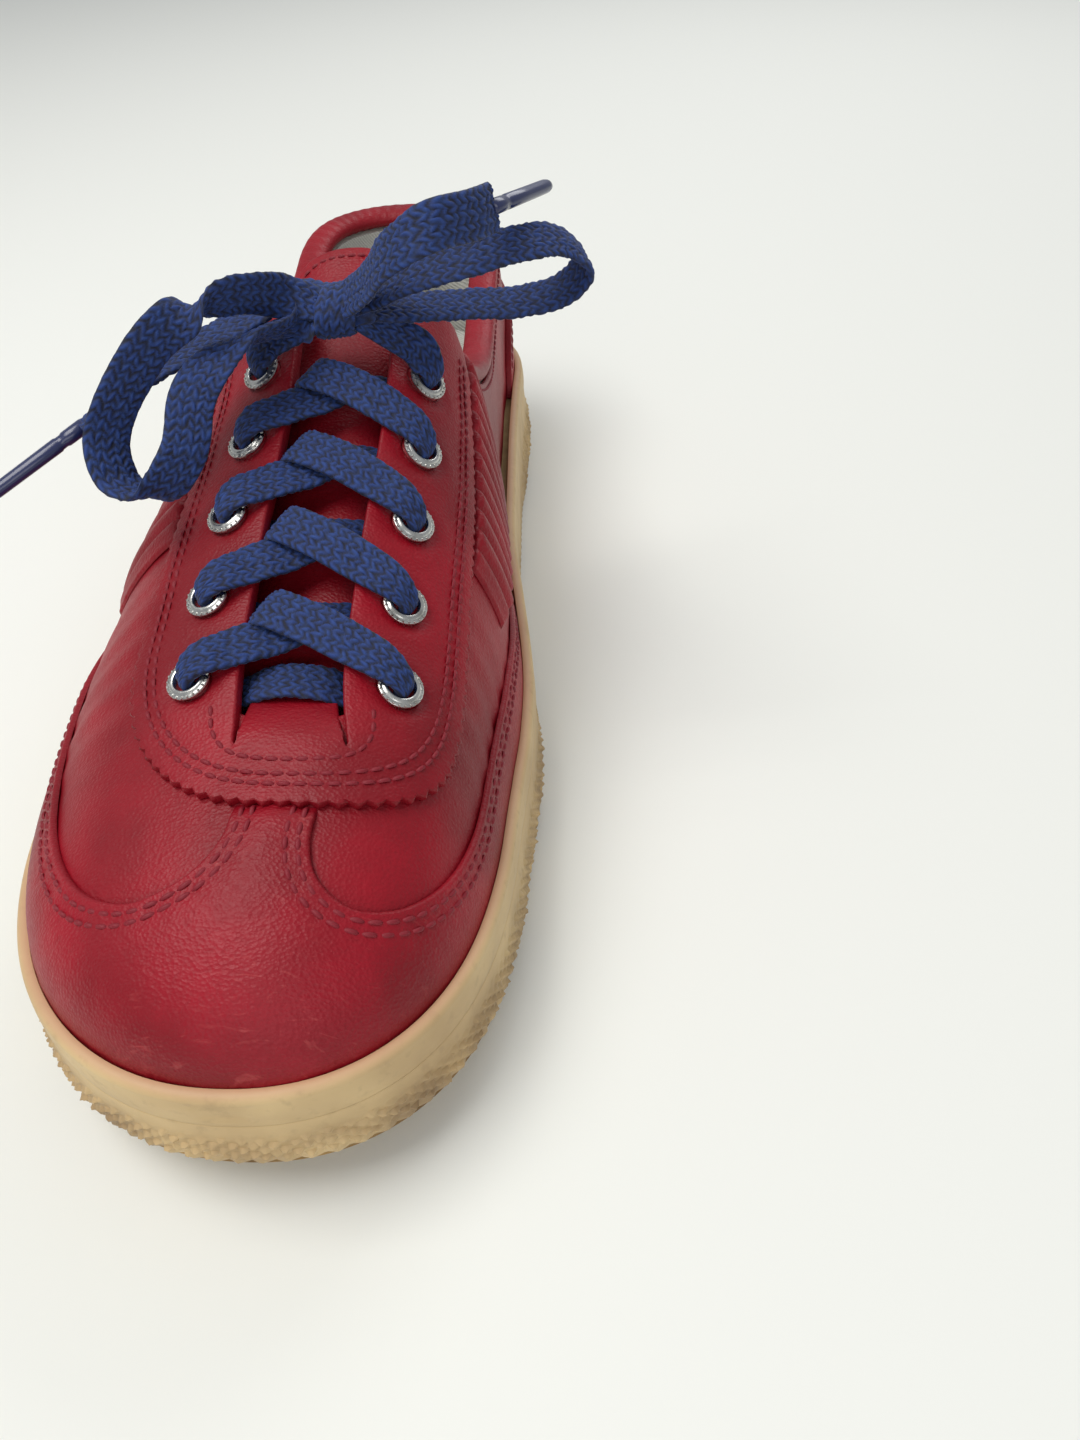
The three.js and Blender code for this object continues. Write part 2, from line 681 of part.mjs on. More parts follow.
// Toe piece: the toe, a short tab up to the lace facing, and a wing along each side.
const wingTip = SEAM.at(-1)[0] - 2;
const feather = (side, from, to, count) => steps(from, to, count).map((a) => over.flat(a, side * wholeGirth(a, side)));
const edgeStations = steps(0, STATIONS, 44);
const toeEdge = (side, from = wingTip, rise = 0) =>
  [stationOf(from), ...edgeStations.filter((i) => i > stationOf(from) + 0.5)].map((i) =>
    over.flat(stationAt(i), side * max(girthTo(i, LEVELS, side) - rise, 0.01)),
  );
const facingNose = FACING_FRONT + PINK_DEPTH + 2 * CLEARANCE;
const tabHalf = SEAM[0][1];
const vampOutline = [
  ...[over.flat(facingNose, -tabHalf * wholeGirth(facingNose, -1)), over.flat(facingNose, tabHalf * wholeGirth(facingNose, 1))],
  ...seam(1, 3),
  ...toeEdge(1).slice(0, -1),
  over.flat(LAST_LENGTH, 0),
  ...toeEdge(-1).slice(0, -1).reverse(),
  ...seam(-1, 3).reverse(),
];
add(shoe, "toe_vamp", wrap({ chart: over, outline: vampOutline, inner: overlayIn + 0.2, outer: overlayOut + 0.2, vs: over.fineVs }), redLeather);

// Toe puff, the stiff cap under the toe piece.
const PUFF_BACK = LAST_LENGTH - 15.5;
const PUFF_RISE = 1.2; // how far its lower edge stands above the upper's
const puffOutline = [
  ...toeEdge(1, PUFF_BACK, PUFF_RISE).slice(0, -3),
  over.flat(LAST_LENGTH - PUFF_RISE, 0),
  ...toeEdge(-1, PUFF_BACK, PUFF_RISE).slice(0, -3).reverse(),
];
add(shoe, "toe_puff", wrap({ chart: over, outline: puffOutline, inner: quarterIn + 0.15, outer: quarterOut - 0.45, vs: over.fineVs }), stiff);

// Vamp lining: toe to the middle of the foot, open at the throat.
const LINING_SEAM = along(168);
const throat = THROAT_HALF + 0.4;
const liningFrom = EYELET_FROM_CREST + 11; // the lining stops just outside the eyelets
const vampLining = [
  ...toeEdge(1, LINING_SEAM).slice(0, -1),
  over.flat(LAST_LENGTH, 0),
  ...toeEdge(-1, LINING_SEAM).slice(0, -1).reverse(),
  ...steps(LINING_SEAM, THROAT_FRONT, 4).map((a) => over.flat(a, -liningFrom)),
  over.flat(THROAT_FRONT + 12, -liningFrom + 12),
  over.flat(THROAT_FRONT + 12, liningFrom - 12),
  ...steps(THROAT_FRONT, LINING_SEAM, 4).map((a) => over.flat(a, liningFrom)),
];
add(
  shoe,
  "vamp_lining",
  wrap({ chart: over, outline: vampLining, inner: 0, outer: LINING, vs: over.fineVs }),
  textile,
);

// Quarters: one leather side each, from the heel seam to the lobe under the toe piece.
const BACK_SEAM = 0.3; // half of the gap at the heel seam
const LOBE_TIP = LAST_LENGTH - 16.5;
const flapTop = (side) => [
  [COLLAR_FRONT + 3, 29],
  [COLLAR_FRONT + 6, 23],
  [FACING_BACK, 16],
  [FACING_BACK + 1.5, throat],
].map(([a, q]) => fromCrest(a, q, side));
function quarterOutline(side) {
  const back = around.flat(0, 0, side);
  const heel = [side * BACK_SEAM, 0];
  const backTop = [side * BACK_SEAM, edgeHeight(0.02, side)];
  return [
    heel,
    backTop,
    ...toplinePlaces(0.3, COLLAR_FRONT, 20).map((a) => around.flat(a, edgeHeight(a, side), side)),
    ...flapTop(side),
    ...steps(FACING_BACK + 8, THROAT_FRONT, 8).map((a) => fromCrest(a, throat, side)),
    fromCrest(THROAT_FRONT + 3, 3, side),
    fromCrest(LOBE_TIP - 9.5, 3, side),
    fromCrest(LOBE_TIP - 2, 0.2 * wholeGirth(LOBE_TIP, side), side),
    fromCrest(LOBE_TIP, 0.5 * wholeGirth(LOBE_TIP, side), side),
    ...edgeStations.filter((i) => i > 6 && i < stationOf(LOBE_TIP)).reverse().map((i) => around.flat(stationAt(i), 0, side)),
    ...(back[0] === 0 ? [] : [back]),
  ];
}
const eyeletHole = (a, side) => circle(over.flat(a, side * eyeletFrom(a)), HOLE);
const toAround = ([u, q]) => fromCrest(stationAt(indexOf(crestRun, u)), abs(q), sign(q));
for (const [name, side] of [["quarter_medial", 1], ["quarter_lateral", -1]]) {
  const outline = quarterOutline(side);
  const holes = eyeletRows.map((a) => eyeletHole(a, side).map(toAround));
  add(shoe, name, wrap({ chart: around, outline, holes, inner: quarterIn, outer: quarterOut }), redLeather);
}

// Quarter lining: one piece round the heel, from facing to facing.
const quarterLiningHalf = (side) => [
  ...toplinePlaces(0, COLLAR_FRONT, 18).map((a) => around.flat(a, edgeHeight(a, side) - 0.5, side)),
  ...flapTop(side).slice(0, 1),
  ...steps(FACING_BACK + 4, LINING_SEAM - CLEARANCE, 4).map((a) => fromCrest(a, liningFrom, side)),
  ...steps(LINING_SEAM - CLEARANCE, 2, 12).map((a) => around.flat(a, 0.1, side)),
];
add(
  shoe,
  "quarter_lining",
  wrap({
    chart: around,
    outline: [...quarterLiningHalf(1).reverse().slice(0, -1), ...quarterLiningHalf(-1)].reverse(),
    inner: (p) => -liningPush(p),
    outer: (p) => LINING - 0.15 - liningPush(p),
  }),
  textile,
);

// Collar foam, in the pocket that the lining leaves below the topline.
const FOAM_FRONT = COLLAR_FRONT - 24;
const padHalf = (side) => toplinePlaces(0, FOAM_FRONT, 14).map((a) => around.flat(a, edgeHeight(a, side) - 0.5, side));
const padUnder = (side) =>
  toplinePlaces(FOAM_FRONT, 0, 14).map((a) => around.flat(a, edgeHeight(a, side) - COLLAR_PAD + 6, side));
add(
  shoe,
  "collar_foam",
  wrap({
    chart: around,
    outline: [
      ...padHalf(-1).reverse(),
      ...padHalf(1).slice(1),
      ...padUnder(1),
      ...padUnder(-1).reverse().slice(1),
    ],
    inner: (p) => LINING + CLEARANCE - liningPush(p) + 0.2,
    outer: quarterIn - LAYER_GAP - 0.2,
  }),
  foam,
);

// Heel stiffener, between the lining and the quarters.
const stiffenerOutline = [
  [-STIFFENER_REACH, 0.5],
  [STIFFENER_REACH, 0.5],
  [STIFFENER_REACH - 4, STIFFENER_HEIGHT - 10],
  [STIFFENER_REACH - 24, STIFFENER_HEIGHT - 2],
  [0, STIFFENER_HEIGHT],
  [-STIFFENER_REACH + 24, STIFFENER_HEIGHT - 2],
  [-STIFFENER_REACH + 4, STIFFENER_HEIGHT - 10],
];
add(
  shoe,
  "heel_stiffener",
  wrap({ chart: around, outline: stiffenerOutline, inner: LINING - LEATHER, outer: LINING - CLEARANCE / 2 }),
  stiff,
);

// Heel overlay and the small tab above it.
const OVERLAY_REACH = 56;
const OVERLAY_HEIGHT = 30;
const overlayOutline = [
  [-OVERLAY_REACH, 0.1],
  [OVERLAY_REACH, 0.1],
  ...curve(
    [
      [OVERLAY_REACH - 3, 9],
      [OVERLAY_REACH - 14, 19],
      [OVERLAY_REACH - 30, OVERLAY_HEIGHT - 4],
      [0, OVERLAY_HEIGHT],
      [-OVERLAY_REACH + 30, OVERLAY_HEIGHT - 4],
      [-OVERLAY_REACH + 14, 19],
      [-OVERLAY_REACH + 3, 9],
    ],
    24,
  ),
];
add(
  shoe,
  "heel_overlay",
  wrap({ chart: around, outline: overlayOutline, inner: overlayIn, outer: overlayOut }),
  redLeather,
);
const TAB_HALF = 13;
const tabTop = edgeHeight(1, 1) - 0.5;
const tabOutline = [
  [-TAB_HALF + 4, OVERLAY_HEIGHT + 1],
  [TAB_HALF - 4, OVERLAY_HEIGHT + 1],
  [TAB_HALF, OVERLAY_HEIGHT + 5],
  [TAB_HALF, tabTop - 1.5],
  [-TAB_HALF, tabTop - 1.5],
  [-TAB_HALF, OVERLAY_HEIGHT + 5],
];
add(shoe, "heel_tab", wrap({ chart: around, outline: tabOutline, inner: overlayIn, outer: overlayOut }), redLeather);

// Ribbed panels: padded ridges across each side, between the lace facing and the wing.
const ribLength = RIBS * RIB_PITCH;
const ribFront = RIB_BACK + ribLength;
const ribTop = FACING_HALF + PINK_DEPTH + 2 * CLEARANCE;
for (const [name, side] of [["ribbed_panel_medial", 1], ["ribbed_panel_lateral", -1]]) {
  const top = steps(RIB_BACK, ribFront, 14).map((a) => over.flat(a, side * ribTop));
  const bottomShare = (a) => mix(0.76, 0.7, (a - RIB_BACK) / ribLength);
  const bottom = steps(ribFront, RIB_BACK, 14).map((a) => over.flat(a, side * bottomShare(a) * wholeGirth(a, side)));
  const from = over.flat(RIB_BACK, 0)[0];
  const to = over.flat(ribFront, 0)[0];
  const ridge = ([u]) => RIB_HEIGHT * sqrt(abs(sin((PI * RIBS * (u - from)) / (to - from))));
  add(
    shoe,
    name,
    wrap({
      chart: over,
      outline: side > 0 ? [...top, ...bottom].reverse() : [...top, ...bottom],
      inner: overlayIn,
      outer: (p) => overlayIn + RIB_BASE + ridge(p),
      us: steps(from - RIB_PITCH / 4, to + RIB_PITCH / 4, RIBS * 4 + 2),
    }),
    redLeather,
  );
}

// Lace facing: one U-shaped piece round the throat, its outer edge cut in a zigzag.
const noseFrom = FACING_FRONT - 36;
const facingSide = (side) => [
  ...steps(0, PI / 2, 3).map((t) =>
    over.flat(FACING_BACK - 4 + 8 * (1 - sin(t)), side * (FACING_HALF - 8 + 8 * sin(t) - 0.0)),
  ),
];
const nose = (side) =>
  steps(0, PI / 2, 26).map((t) => {
    const reach = (FACING_FRONT - noseFrom) * sin(t) ** (2 / 2.5);
    return over.flat(noseFrom + reach, side * FACING_HALF * cos(t) ** (2 / 2.5));
  });
const outerEdge = [
  over.flat(FACING_BACK + 3, FACING_HALF),
  ...steps(FACING_BACK + 12, noseFrom - 8, 6).map((a) => over.flat(a, FACING_HALF)),
  ...nose(1),
  ...nose(-1).reverse().slice(1),
  ...steps(noseFrom - 8, FACING_BACK + 12, 6).map((a) => over.flat(a, -FACING_HALF)),
  over.flat(FACING_BACK + 3, -FACING_HALF),
];
function pinked(line) {
  const path = new THREE.CurvePath();
  line.slice(1).forEach((p, i) => path.add(new THREE.LineCurve(new THREE.Vector2(...line[i]), new THREE.Vector2(...p))));
  const teeth = Math.round(path.getLength() / PINK_PITCH);
  return steps(0, 1, 2 * teeth).map((t, i) => {
    const p = path.getPointAt(t);
    const run = path.getTangentAt(clamp(t, 0.001, 0.999));
    const inset = i % 2 ? PINK_DEPTH : 0;
    return [p.x - run.y * inset, p.y + run.x * inset];
  });
}
// Which way the zigzag cuts in depends on the way round; the crest run falls towards the toe here.
const flapCorner = (side) => [
  over.flat(FACING_BACK - 1, side * (FACING_HALF - 2)),
  over.flat(FACING_BACK - 3, side * (FACING_HALF - 6)),
  over.flat(FACING_BACK - 1.5, side * (FACING_HALF - 13)),
  over.flat(FACING_BACK, side * THROAT_HALF),
];
const facingOutline = [
  ...pinked(outerEdge),
  ...flapCorner(-1),
  ...steps(FACING_BACK + 10, THROAT_FRONT - 4, 8).map((a) => over.flat(a, -THROAT_HALF)),
  over.flat(THROAT_FRONT, -THROAT_HALF + 2.5),
  over.flat(THROAT_FRONT, THROAT_HALF - 2.5),
  ...steps(THROAT_FRONT - 4, FACING_BACK + 10, 8).map((a) => over.flat(a, THROAT_HALF)),
  ...flapCorner(1).reverse(),
];
add(
  shoe,
  "lace_facing",
  wrap({
    chart: over,
    outline: facingOutline,
    holes: eyeletRows.flatMap((a) => [eyeletHole(a, 1), eyeletHole(a, -1)]),
    inner: overlayIn,
    outer: overlayOut,
  }),
  redLeather,
);

// Rolled leather edge of the collar.
const BINDING_HALF_WIDTH = (COLLAR_SWELL + quarterOut) / 2 + 0.4;
const bindingStops = [];
for (const side of [1, -1]) {
  const along = toplinePlaces(COLLAR_FRONT - 3, 0, 20).map((a) => {
    const station = stationOf(a);
    const level = levelAt(station, girthTo(station, LEVELS, side) - heightAt(a, topline(a) + 0.4, side), side);
    const swell = COLLAR_SWELL * (1 - smooth(COLLAR_FRONT - 14, COLLAR_FRONT - 2, a));
    const { point, normal } = outside(station, level, side, (quarterOut - swell) / 2);
    return { point, width: normal, half: (swell + quarterOut) / 2 + 0.4, thin: BINDING_HALF_HEIGHT - 0.3 };
  });
  bindingStops.push(...(side > 0 ? along.slice(0, -1) : along.slice(0, -1).reverse()));
}
add(shoe, "collar_binding", strand(bindingStops), redLeather);

// ---------------------------------------------------------------------------------------------
// Tongue: leather, foam and lining, sewn in at its front end
// ---------------------------------------------------------------------------------------------
const tongueOut = -3.6;
const tongueLeather = tongueOut - 1;
const tongueFoam = tongueLeather - LAYER_GAP - TONGUE_FOAM;
const tongueShape = (margin) => {
  const half = TONGUE_HALF - margin;
  const back = TONGUE_BACK + margin;
  const taper = (a) => half * mix(0.72, 1, 1 - smooth(150, TONGUE_FRONT, a));
  return [
    ...steps(TONGUE_FRONT - margin / 2, back + 8, 10).map((a) => over.flat(a, taper(a))),
    over.flat(back + 2, half - 4),
    over.flat(back, half - 12),
    over.flat(back, -half + 12),
    over.flat(back + 2, -half + 4),
    ...steps(back + 8, TONGUE_FRONT - margin / 2, 10).map((a) => over.flat(a, -taper(a))),
  ];
};
const tonguePiece = (name, margin, inner, outer, material) =>
  add(shoe, name, wrap({ chart: over, outline: tongueShape(margin), inner, outer }), material);
tonguePiece("tongue_leather", 0, tongueLeather, tongueOut, redLeather);
tonguePiece("tongue_foam", 3, tongueFoam, tongueLeather - LAYER_GAP, foam);
tonguePiece("tongue_lining", 0.5, tongueFoam - LAYER_GAP - LINING, tongueFoam - LAYER_GAP, textile);

// ---------------------------------------------------------------------------------------------
// Eyelets, their backs rolled over inside the quarters
// ---------------------------------------------------------------------------------------------
const FLANGE = 4.25;
const FLANGE_HEIGHT = 1;
const BORE = 2.5;
const rollTop = quarterIn - 1.2;
const backRoll = rollTop - 0.45;
const flangeSeat = overlayOut + 1.6 * CLEARANCE;
const eyeletProfile = [
  [BORE, backRoll],
  [FLANGE - 1, backRoll],
  [FLANGE - 1, rollTop],
  [BARREL, rollTop],
  [BARREL, flangeSeat],
  [FLANGE, flangeSeat],
  [FLANGE - 0.3, flangeSeat + 0.6],
  [FLANGE - 1.2, flangeSeat + FLANGE_HEIGHT],
  [BORE, flangeSeat + 0.3],
  [BORE, backRoll],
].map((p) => new THREE.Vector2(...p));
const EYELET_SIDES = 12;
function turned(profile, a, side) {
  const { point, normal } = onSurface(a, side * eyeletFrom(a), 0);
  const stand = new THREE.Matrix4().makeRotationX(PI / 2);
  const turn = new THREE.Quaternion().setFromUnitVectors(new THREE.Vector3(0, 0, 1), normal);
  const place = new THREE.Matrix4().compose(point, turn, new THREE.Vector3(1, 1, 1)).multiply(stand);
  return outward(geometryOf(solidOf(outwardLathe(profile)), (p) => p.applyMatrix4(place)));
}
function outwardLathe(profile) {
  const geometry = new THREE.LatheGeometry(profile, EYELET_SIDES);
  return outward(mergeVertices(geometry.deleteAttribute("uv").deleteAttribute("normal"), 1e-4));
}
const sideName = { 1: "medial", [-1]: "lateral" };
for (const side of [1, -1]) {
  eyeletRows.forEach((a, row) => {
    add(shoe, `eyelet_${sideName[side]}_${row + 1}`, turned(eyeletProfile, a, side), steel);
  });
}

// ---------------------------------------------------------------------------------------------
// Lace, as it lies: a bar under the front row, crossings up to the last row, and out to the knot
// ---------------------------------------------------------------------------------------------
const underFlap = backRoll - LAYER_GAP - LACE / 2;
const overFlange = flangeSeat + FLANGE_HEIGHT + LACE / 2 + CLEARANCE;
const LOWER = 1.4;
const UPPER = LOWER + LACE + 0.6;
const inHole = { half: 1.6, thin: LACE / 2 };
const flatLace = { half: LACE_WIDTH / 2, thin: LACE / 2 };
const laceStop = (a, q, lift, width, shape) => {
  const { point } = onSurface(a, q, lift);
  return { point, width, ...shape };
};
const surfaceRun = (from, to) => onSurface(...to, 0).point.sub(onSurface(...from, 0).point).normalize();
// One crossing: up through an eyelet, over the facing's edge, across, and under the other facing.
function crossing(row, side) {
  const start = eyeletRows[row];
  const end = eyeletRows[row + 1];
  const from = side * eyeletFrom(start);
  const to = -side * eyeletFrom(end);
  const level = side > 0 ? UPPER : LOWER;
  const { normal } = onSurface((start + end) / 2, 0, 0);
  const width = surfaceRun([start, from], [end, to]).cross(normal).normalize();
  // it gains most of the row's height on its own side of the throat
  const gained = (t) => 1 - (1 - t) ** 1.35;
  const place = (t, lift, shape) => laceStop(mix(start, end, gained(t)), mix(from, to, t), lift, width, shape);
  const wide = (share) => ({ half: mix(inHole.half, flatLace.half, share), thin: LACE / 2 });
  return [
    place(0, 0.8, inHole),
    place(0, overFlange - 0.3, inHole),
    place(0.03, overFlange + 0.7, wide(0.1)),
    place(0.11, overFlange + 0.8, wide(0.7)),
    place(0.31, mix(overFlange, level, 0.22), flatLace),
    place(0.4, mix(overFlange, level, 0.8), flatLace),
    place(0.5, level, flatLace),
    place(0.6, mix(level, underFlap, 0.45), flatLace),
    place(0.69, underFlap, flatLace),
    place(0.84, underFlap, wide(0.7)),
    place(0.96, underFlap - 0.1, wide(0.1)),
  ];
}
const KNOT_FROM = FACING_BACK + 14;
const knotPlace = onSurface(KNOT_FROM, 1, overlayOut + 6.5);
function toKnot(side) {
  const a = eyeletRows.at(-1);
  const from = side * eyeletFrom(a);
  const end = KNOT_FROM + 1;
  const width = surfaceRun([a, from], [end, 0]).cross(onSurface(a, 0, 0).normal).normalize();
  const place = (t, lift, shape) => laceStop(mix(a, end, t), mix(from, side * 9.5, t), lift, width, shape);
  const wide = (share) => ({ half: mix(inHole.half, flatLace.half, share), thin: LACE / 2 });
  return [
    place(0, 0.8, inHole),
    place(0, overFlange - 0.3, inHole),
    place(0.1, overFlange + 0.5, wide(0.3)),
    place(0.3, overFlange + 1.2, wide(0.7)),
    place(0.6, overFlange + 1.4, flatLace),
    place(0.9, overFlange + 1.8, { half: 3.2, thin: LACE / 2 }),
  ];
}
function branch(side) {
  const stops = [];
  for (let row = 0; row < EYELET_ROWS - 1; row++) stops.push(...crossing(row, row % 2 ? -side : side));
  stops.push(...toKnot((EYELET_ROWS - 1) % 2 ? -side : side));
  return stops;
}
const barWidth = new THREE.Vector3(0, 1, 0);
const barStops = [-13, -9.5, -5, 0, 5, 9.5, 13].map((q) =>
  laceStop(FIRST_ROW, q, underFlap, barWidth, abs(q) > 11 ? { half: 2.4, thin: LACE / 2 } : flatLace),
);
const barEnd = (side) => [laceStop(FIRST_ROW, side * (EYELET_FROM_CREST - 0.9), underFlap, barWidth, inHole)];
const flipped = (stops) => stops.map((s) => ({ ...s, width: s.width.clone().negate() }));
const towards = (stops, reference) =>
  stops.map((s) => (s.width.dot(reference) < 0 ? { ...s, width: s.width.clone().negate() } : s));
const laceStops = [
  ...branch(-1).reverse(),
  ...barEnd(-1),
  ...barStops,
  ...barEnd(1),
  ...branch(1),
];
add(laces, "lace", strand(towards(laceStops, barWidth)), blueLace);

// ---------------------------------------------------------------------------------------------
// Bow: knot, two loops, two ends and their aglets
// ---------------------------------------------------------------------------------------------
const KNOT = 7;
const knot = new THREE.SphereGeometry(KNOT, 14, 10);
knot.scale(1.05, 0.95, 0.62);
knot.translate(...knotPlace.point.toArray());
add(laces, "bow_knot", outward(mergeVertices(knot.deleteAttribute("uv").deleteAttribute("normal"), 1e-4)), blueLace);

// A smooth strand through places given from the knot's middle, with the way its width faces.
function ribbon(places, width, count, shape = flatLace) {
  const line = new THREE.CatmullRomCurve3(
    places.map((p) => new THREE.Vector3(...p).add(knotPlace.point)),
    false,
    "centripetal",
  );
  const turn = new THREE.CatmullRomCurve3(width.map((w) => new THREE.Vector3(...w)));
  return strand(
    line.getSpacedPoints(count).map((point, i) => ({ point, width: turn.getPoint(i / count), ...shape })),
  );
}
const tie = (name, places, width, count, shape) => add(laces, name, ribbon(places, width, count, shape), blueLace);
tie(
  "bow_loop_medial",
  [[9, -2, 4], [16, -5, 8], [26, -6, 11], [36, -1, 12], [44, 5, 10], [48, 7, 5], [44, 8, 0], [36, 7, -2], [24, 6, -2], [9.5, 2, -1]],
  [[0.2, 1, 0.4], [0, 1, 0.5], [-0.5, 1, 0.5], [0, 1, 0.3], [0, 1, 0.1]],
  26,
);
tie(
  "bow_loop_lateral",
  [[-9, -3, 4], [-17, -12, 8], [-27, -21, 6], [-35, -27, -2], [-40, -31, -11], [-38, -35, -17], [-31, -37, -18], [-25, -33, -12], [-23, -26, -4], [-17, -16, 0.5], [-9.5, -5, -1]],
  [[0.6, 0.8, 0.1], [0.8, 0.6, 0.2], [0.8, 0.5, -0.3], [0.9, 0.4, 0.2], [0.8, 0.6, 0.1]],
  30,
);
const endMedial = [[8, -9, 8.5], [14, -16, 16], [22, -18, 21], [29, -11, 20.5], [32, -4, 19.5]];
const endLateral = [[-9.8, 4, 2], [-19, -5, 0], [-33, -17, -4], [-46, -27, -10]];
tie("lace_end_medial", endMedial, [[0.2, 0.6, 0.7], [0, 0.6, 0.8], [0, 0.5, 0.9], [-0.1, 0.4, 0.9]], 12);
tie("lace_end_lateral", endLateral, [[0.2, 1, 0.2], [0, 1, 0.2], [0, 1, 0]], 12);
for (const [name, [from, to]] of [["aglet_medial", endMedial.slice(-2)], ["aglet_lateral", endLateral.slice(-2)]]) {
  const start = new THREE.Vector3(...to).add(knotPlace.point);
  const run = new THREE.Vector3(...to).sub(new THREE.Vector3(...from)).normalize();
  const rod = new THREE.CylinderGeometry(1.5, 1.7, AGLET_LENGTH, 8);
  const turn = new THREE.Quaternion().setFromUnitVectors(new THREE.Vector3(0, 1, 0), run);
  rod.applyQuaternion(turn);
  rod.translate(...start.addScaledVector(run, AGLET_LENGTH / 2 + CLEARANCE).toArray());
  add(laces, name, outward(mergeVertices(rod.deleteAttribute("uv").deleteAttribute("normal"), 1e-4)), aglet);
}

// The floor is z = 0, and the middle of the shoe's box stands over the origin.
const box = new THREE.Box3().setFromObject(shoe);
const { x, y } = box.getCenter(new THREE.Vector3());
part.position.set(-x, -y, -box.min.z);

export default part;
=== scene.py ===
import math

import bpy
import numpy as np
from mathutils import Matrix, Vector, geometry


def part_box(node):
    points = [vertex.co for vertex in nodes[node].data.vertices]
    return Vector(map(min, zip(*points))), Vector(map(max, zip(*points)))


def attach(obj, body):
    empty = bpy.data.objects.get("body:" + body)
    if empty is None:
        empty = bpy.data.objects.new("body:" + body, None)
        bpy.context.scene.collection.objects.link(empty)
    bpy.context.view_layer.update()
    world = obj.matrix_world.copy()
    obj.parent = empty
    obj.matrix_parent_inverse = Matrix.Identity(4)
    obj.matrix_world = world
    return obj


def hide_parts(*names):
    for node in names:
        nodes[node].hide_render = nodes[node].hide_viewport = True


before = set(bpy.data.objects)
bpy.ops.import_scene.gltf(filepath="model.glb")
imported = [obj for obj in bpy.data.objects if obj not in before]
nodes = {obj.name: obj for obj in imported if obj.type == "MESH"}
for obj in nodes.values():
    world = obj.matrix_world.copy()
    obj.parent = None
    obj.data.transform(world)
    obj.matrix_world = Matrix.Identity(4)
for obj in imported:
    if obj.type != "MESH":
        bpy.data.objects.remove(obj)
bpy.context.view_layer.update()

# ---------------------------------------------------------------------------
# Camera, light and floor
# ---------------------------------------------------------------------------
# The shoe stands on a pale matt floor in a large soft studio light. The view
# looks down over the toe, from the front and a little from the medial side.
PITCH, YAW, ROLL = math.radians(43.33), math.radians(5.41), math.radians(-3.64)
camera_data = bpy.data.cameras.new("camera")
camera_data.sensor_fit = "VERTICAL"
camera_data.sensor_height = 36
camera_data.lens = 27.05
camera_data.clip_start = 0.01
camera = bpy.data.objects.new("camera", camera_data)
bpy.context.scene.collection.objects.link(camera)
level_right = Vector((math.cos(YAW), math.sin(YAW), 0))
level_ahead = Vector((-math.sin(YAW), math.cos(YAW), 0))
up = Vector((0, 0, 1))
ahead = level_ahead * math.cos(PITCH) - up * math.sin(PITCH)
above = level_ahead * math.sin(PITCH) + up * math.cos(PITCH)
right = level_right * math.cos(ROLL) + above * math.sin(ROLL)
above = above * math.cos(ROLL) - level_right * math.sin(ROLL)
turn = Matrix((right, above, -ahead)).transposed().to_4x4()
camera.matrix_world = Matrix.Translation((0.067, -0.215, 0.1816)) @ turn
bpy.context.scene.camera = camera
bpy.context.scene.view_settings.view_transform = "Standard"

world = bpy.data.worlds.new("studio")
world.use_nodes = True
world.node_tree.nodes["Background"].inputs["Color"].default_value = (0.93, 0.96, 1, 1)
world.node_tree.nodes["Background"].inputs["Strength"].default_value = 0.42
bpy.context.scene.world = world


def softbox(name, place, target, size, power, color=(1, 1, 1)):
    data = bpy.data.lights.new(name, "AREA")
    data.shape = "RECTANGLE"
    data.size, data.size_y = size
    data.energy = power
    data.color = color
    lamp = bpy.data.objects.new(name, data)
    lamp.location = place
    aim = Vector(target) - Vector(place)
    lamp.rotation_euler = aim.to_track_quat("-Z", "Y").to_euler()
    bpy.context.scene.collection.objects.link(lamp)


softbox("key", (-0.35, -0.15, 0.95), (0, -0.03, 0), (0.7, 0.5), 6.5, (1, 0.98, 0.95))
softbox("front", (0.1, -0.95, 0.5), (0, -0.1, 0.03), (0.9, 0.4), 2.2)
softbox("back", (0.3, 0.8, 0.7), (0, 0.05, 0.05), (0.6, 0.4), 2.5)


def linear(r, g, b):
    """Linear values of a display colour given from 0 to 255."""
    part = [c / 255 for c in (r, g, b)]
    return tuple(c / 12.92 if c < 0.04045 else ((c + 0.055) / 1.055) ** 2.4 for c in part) + (1,)


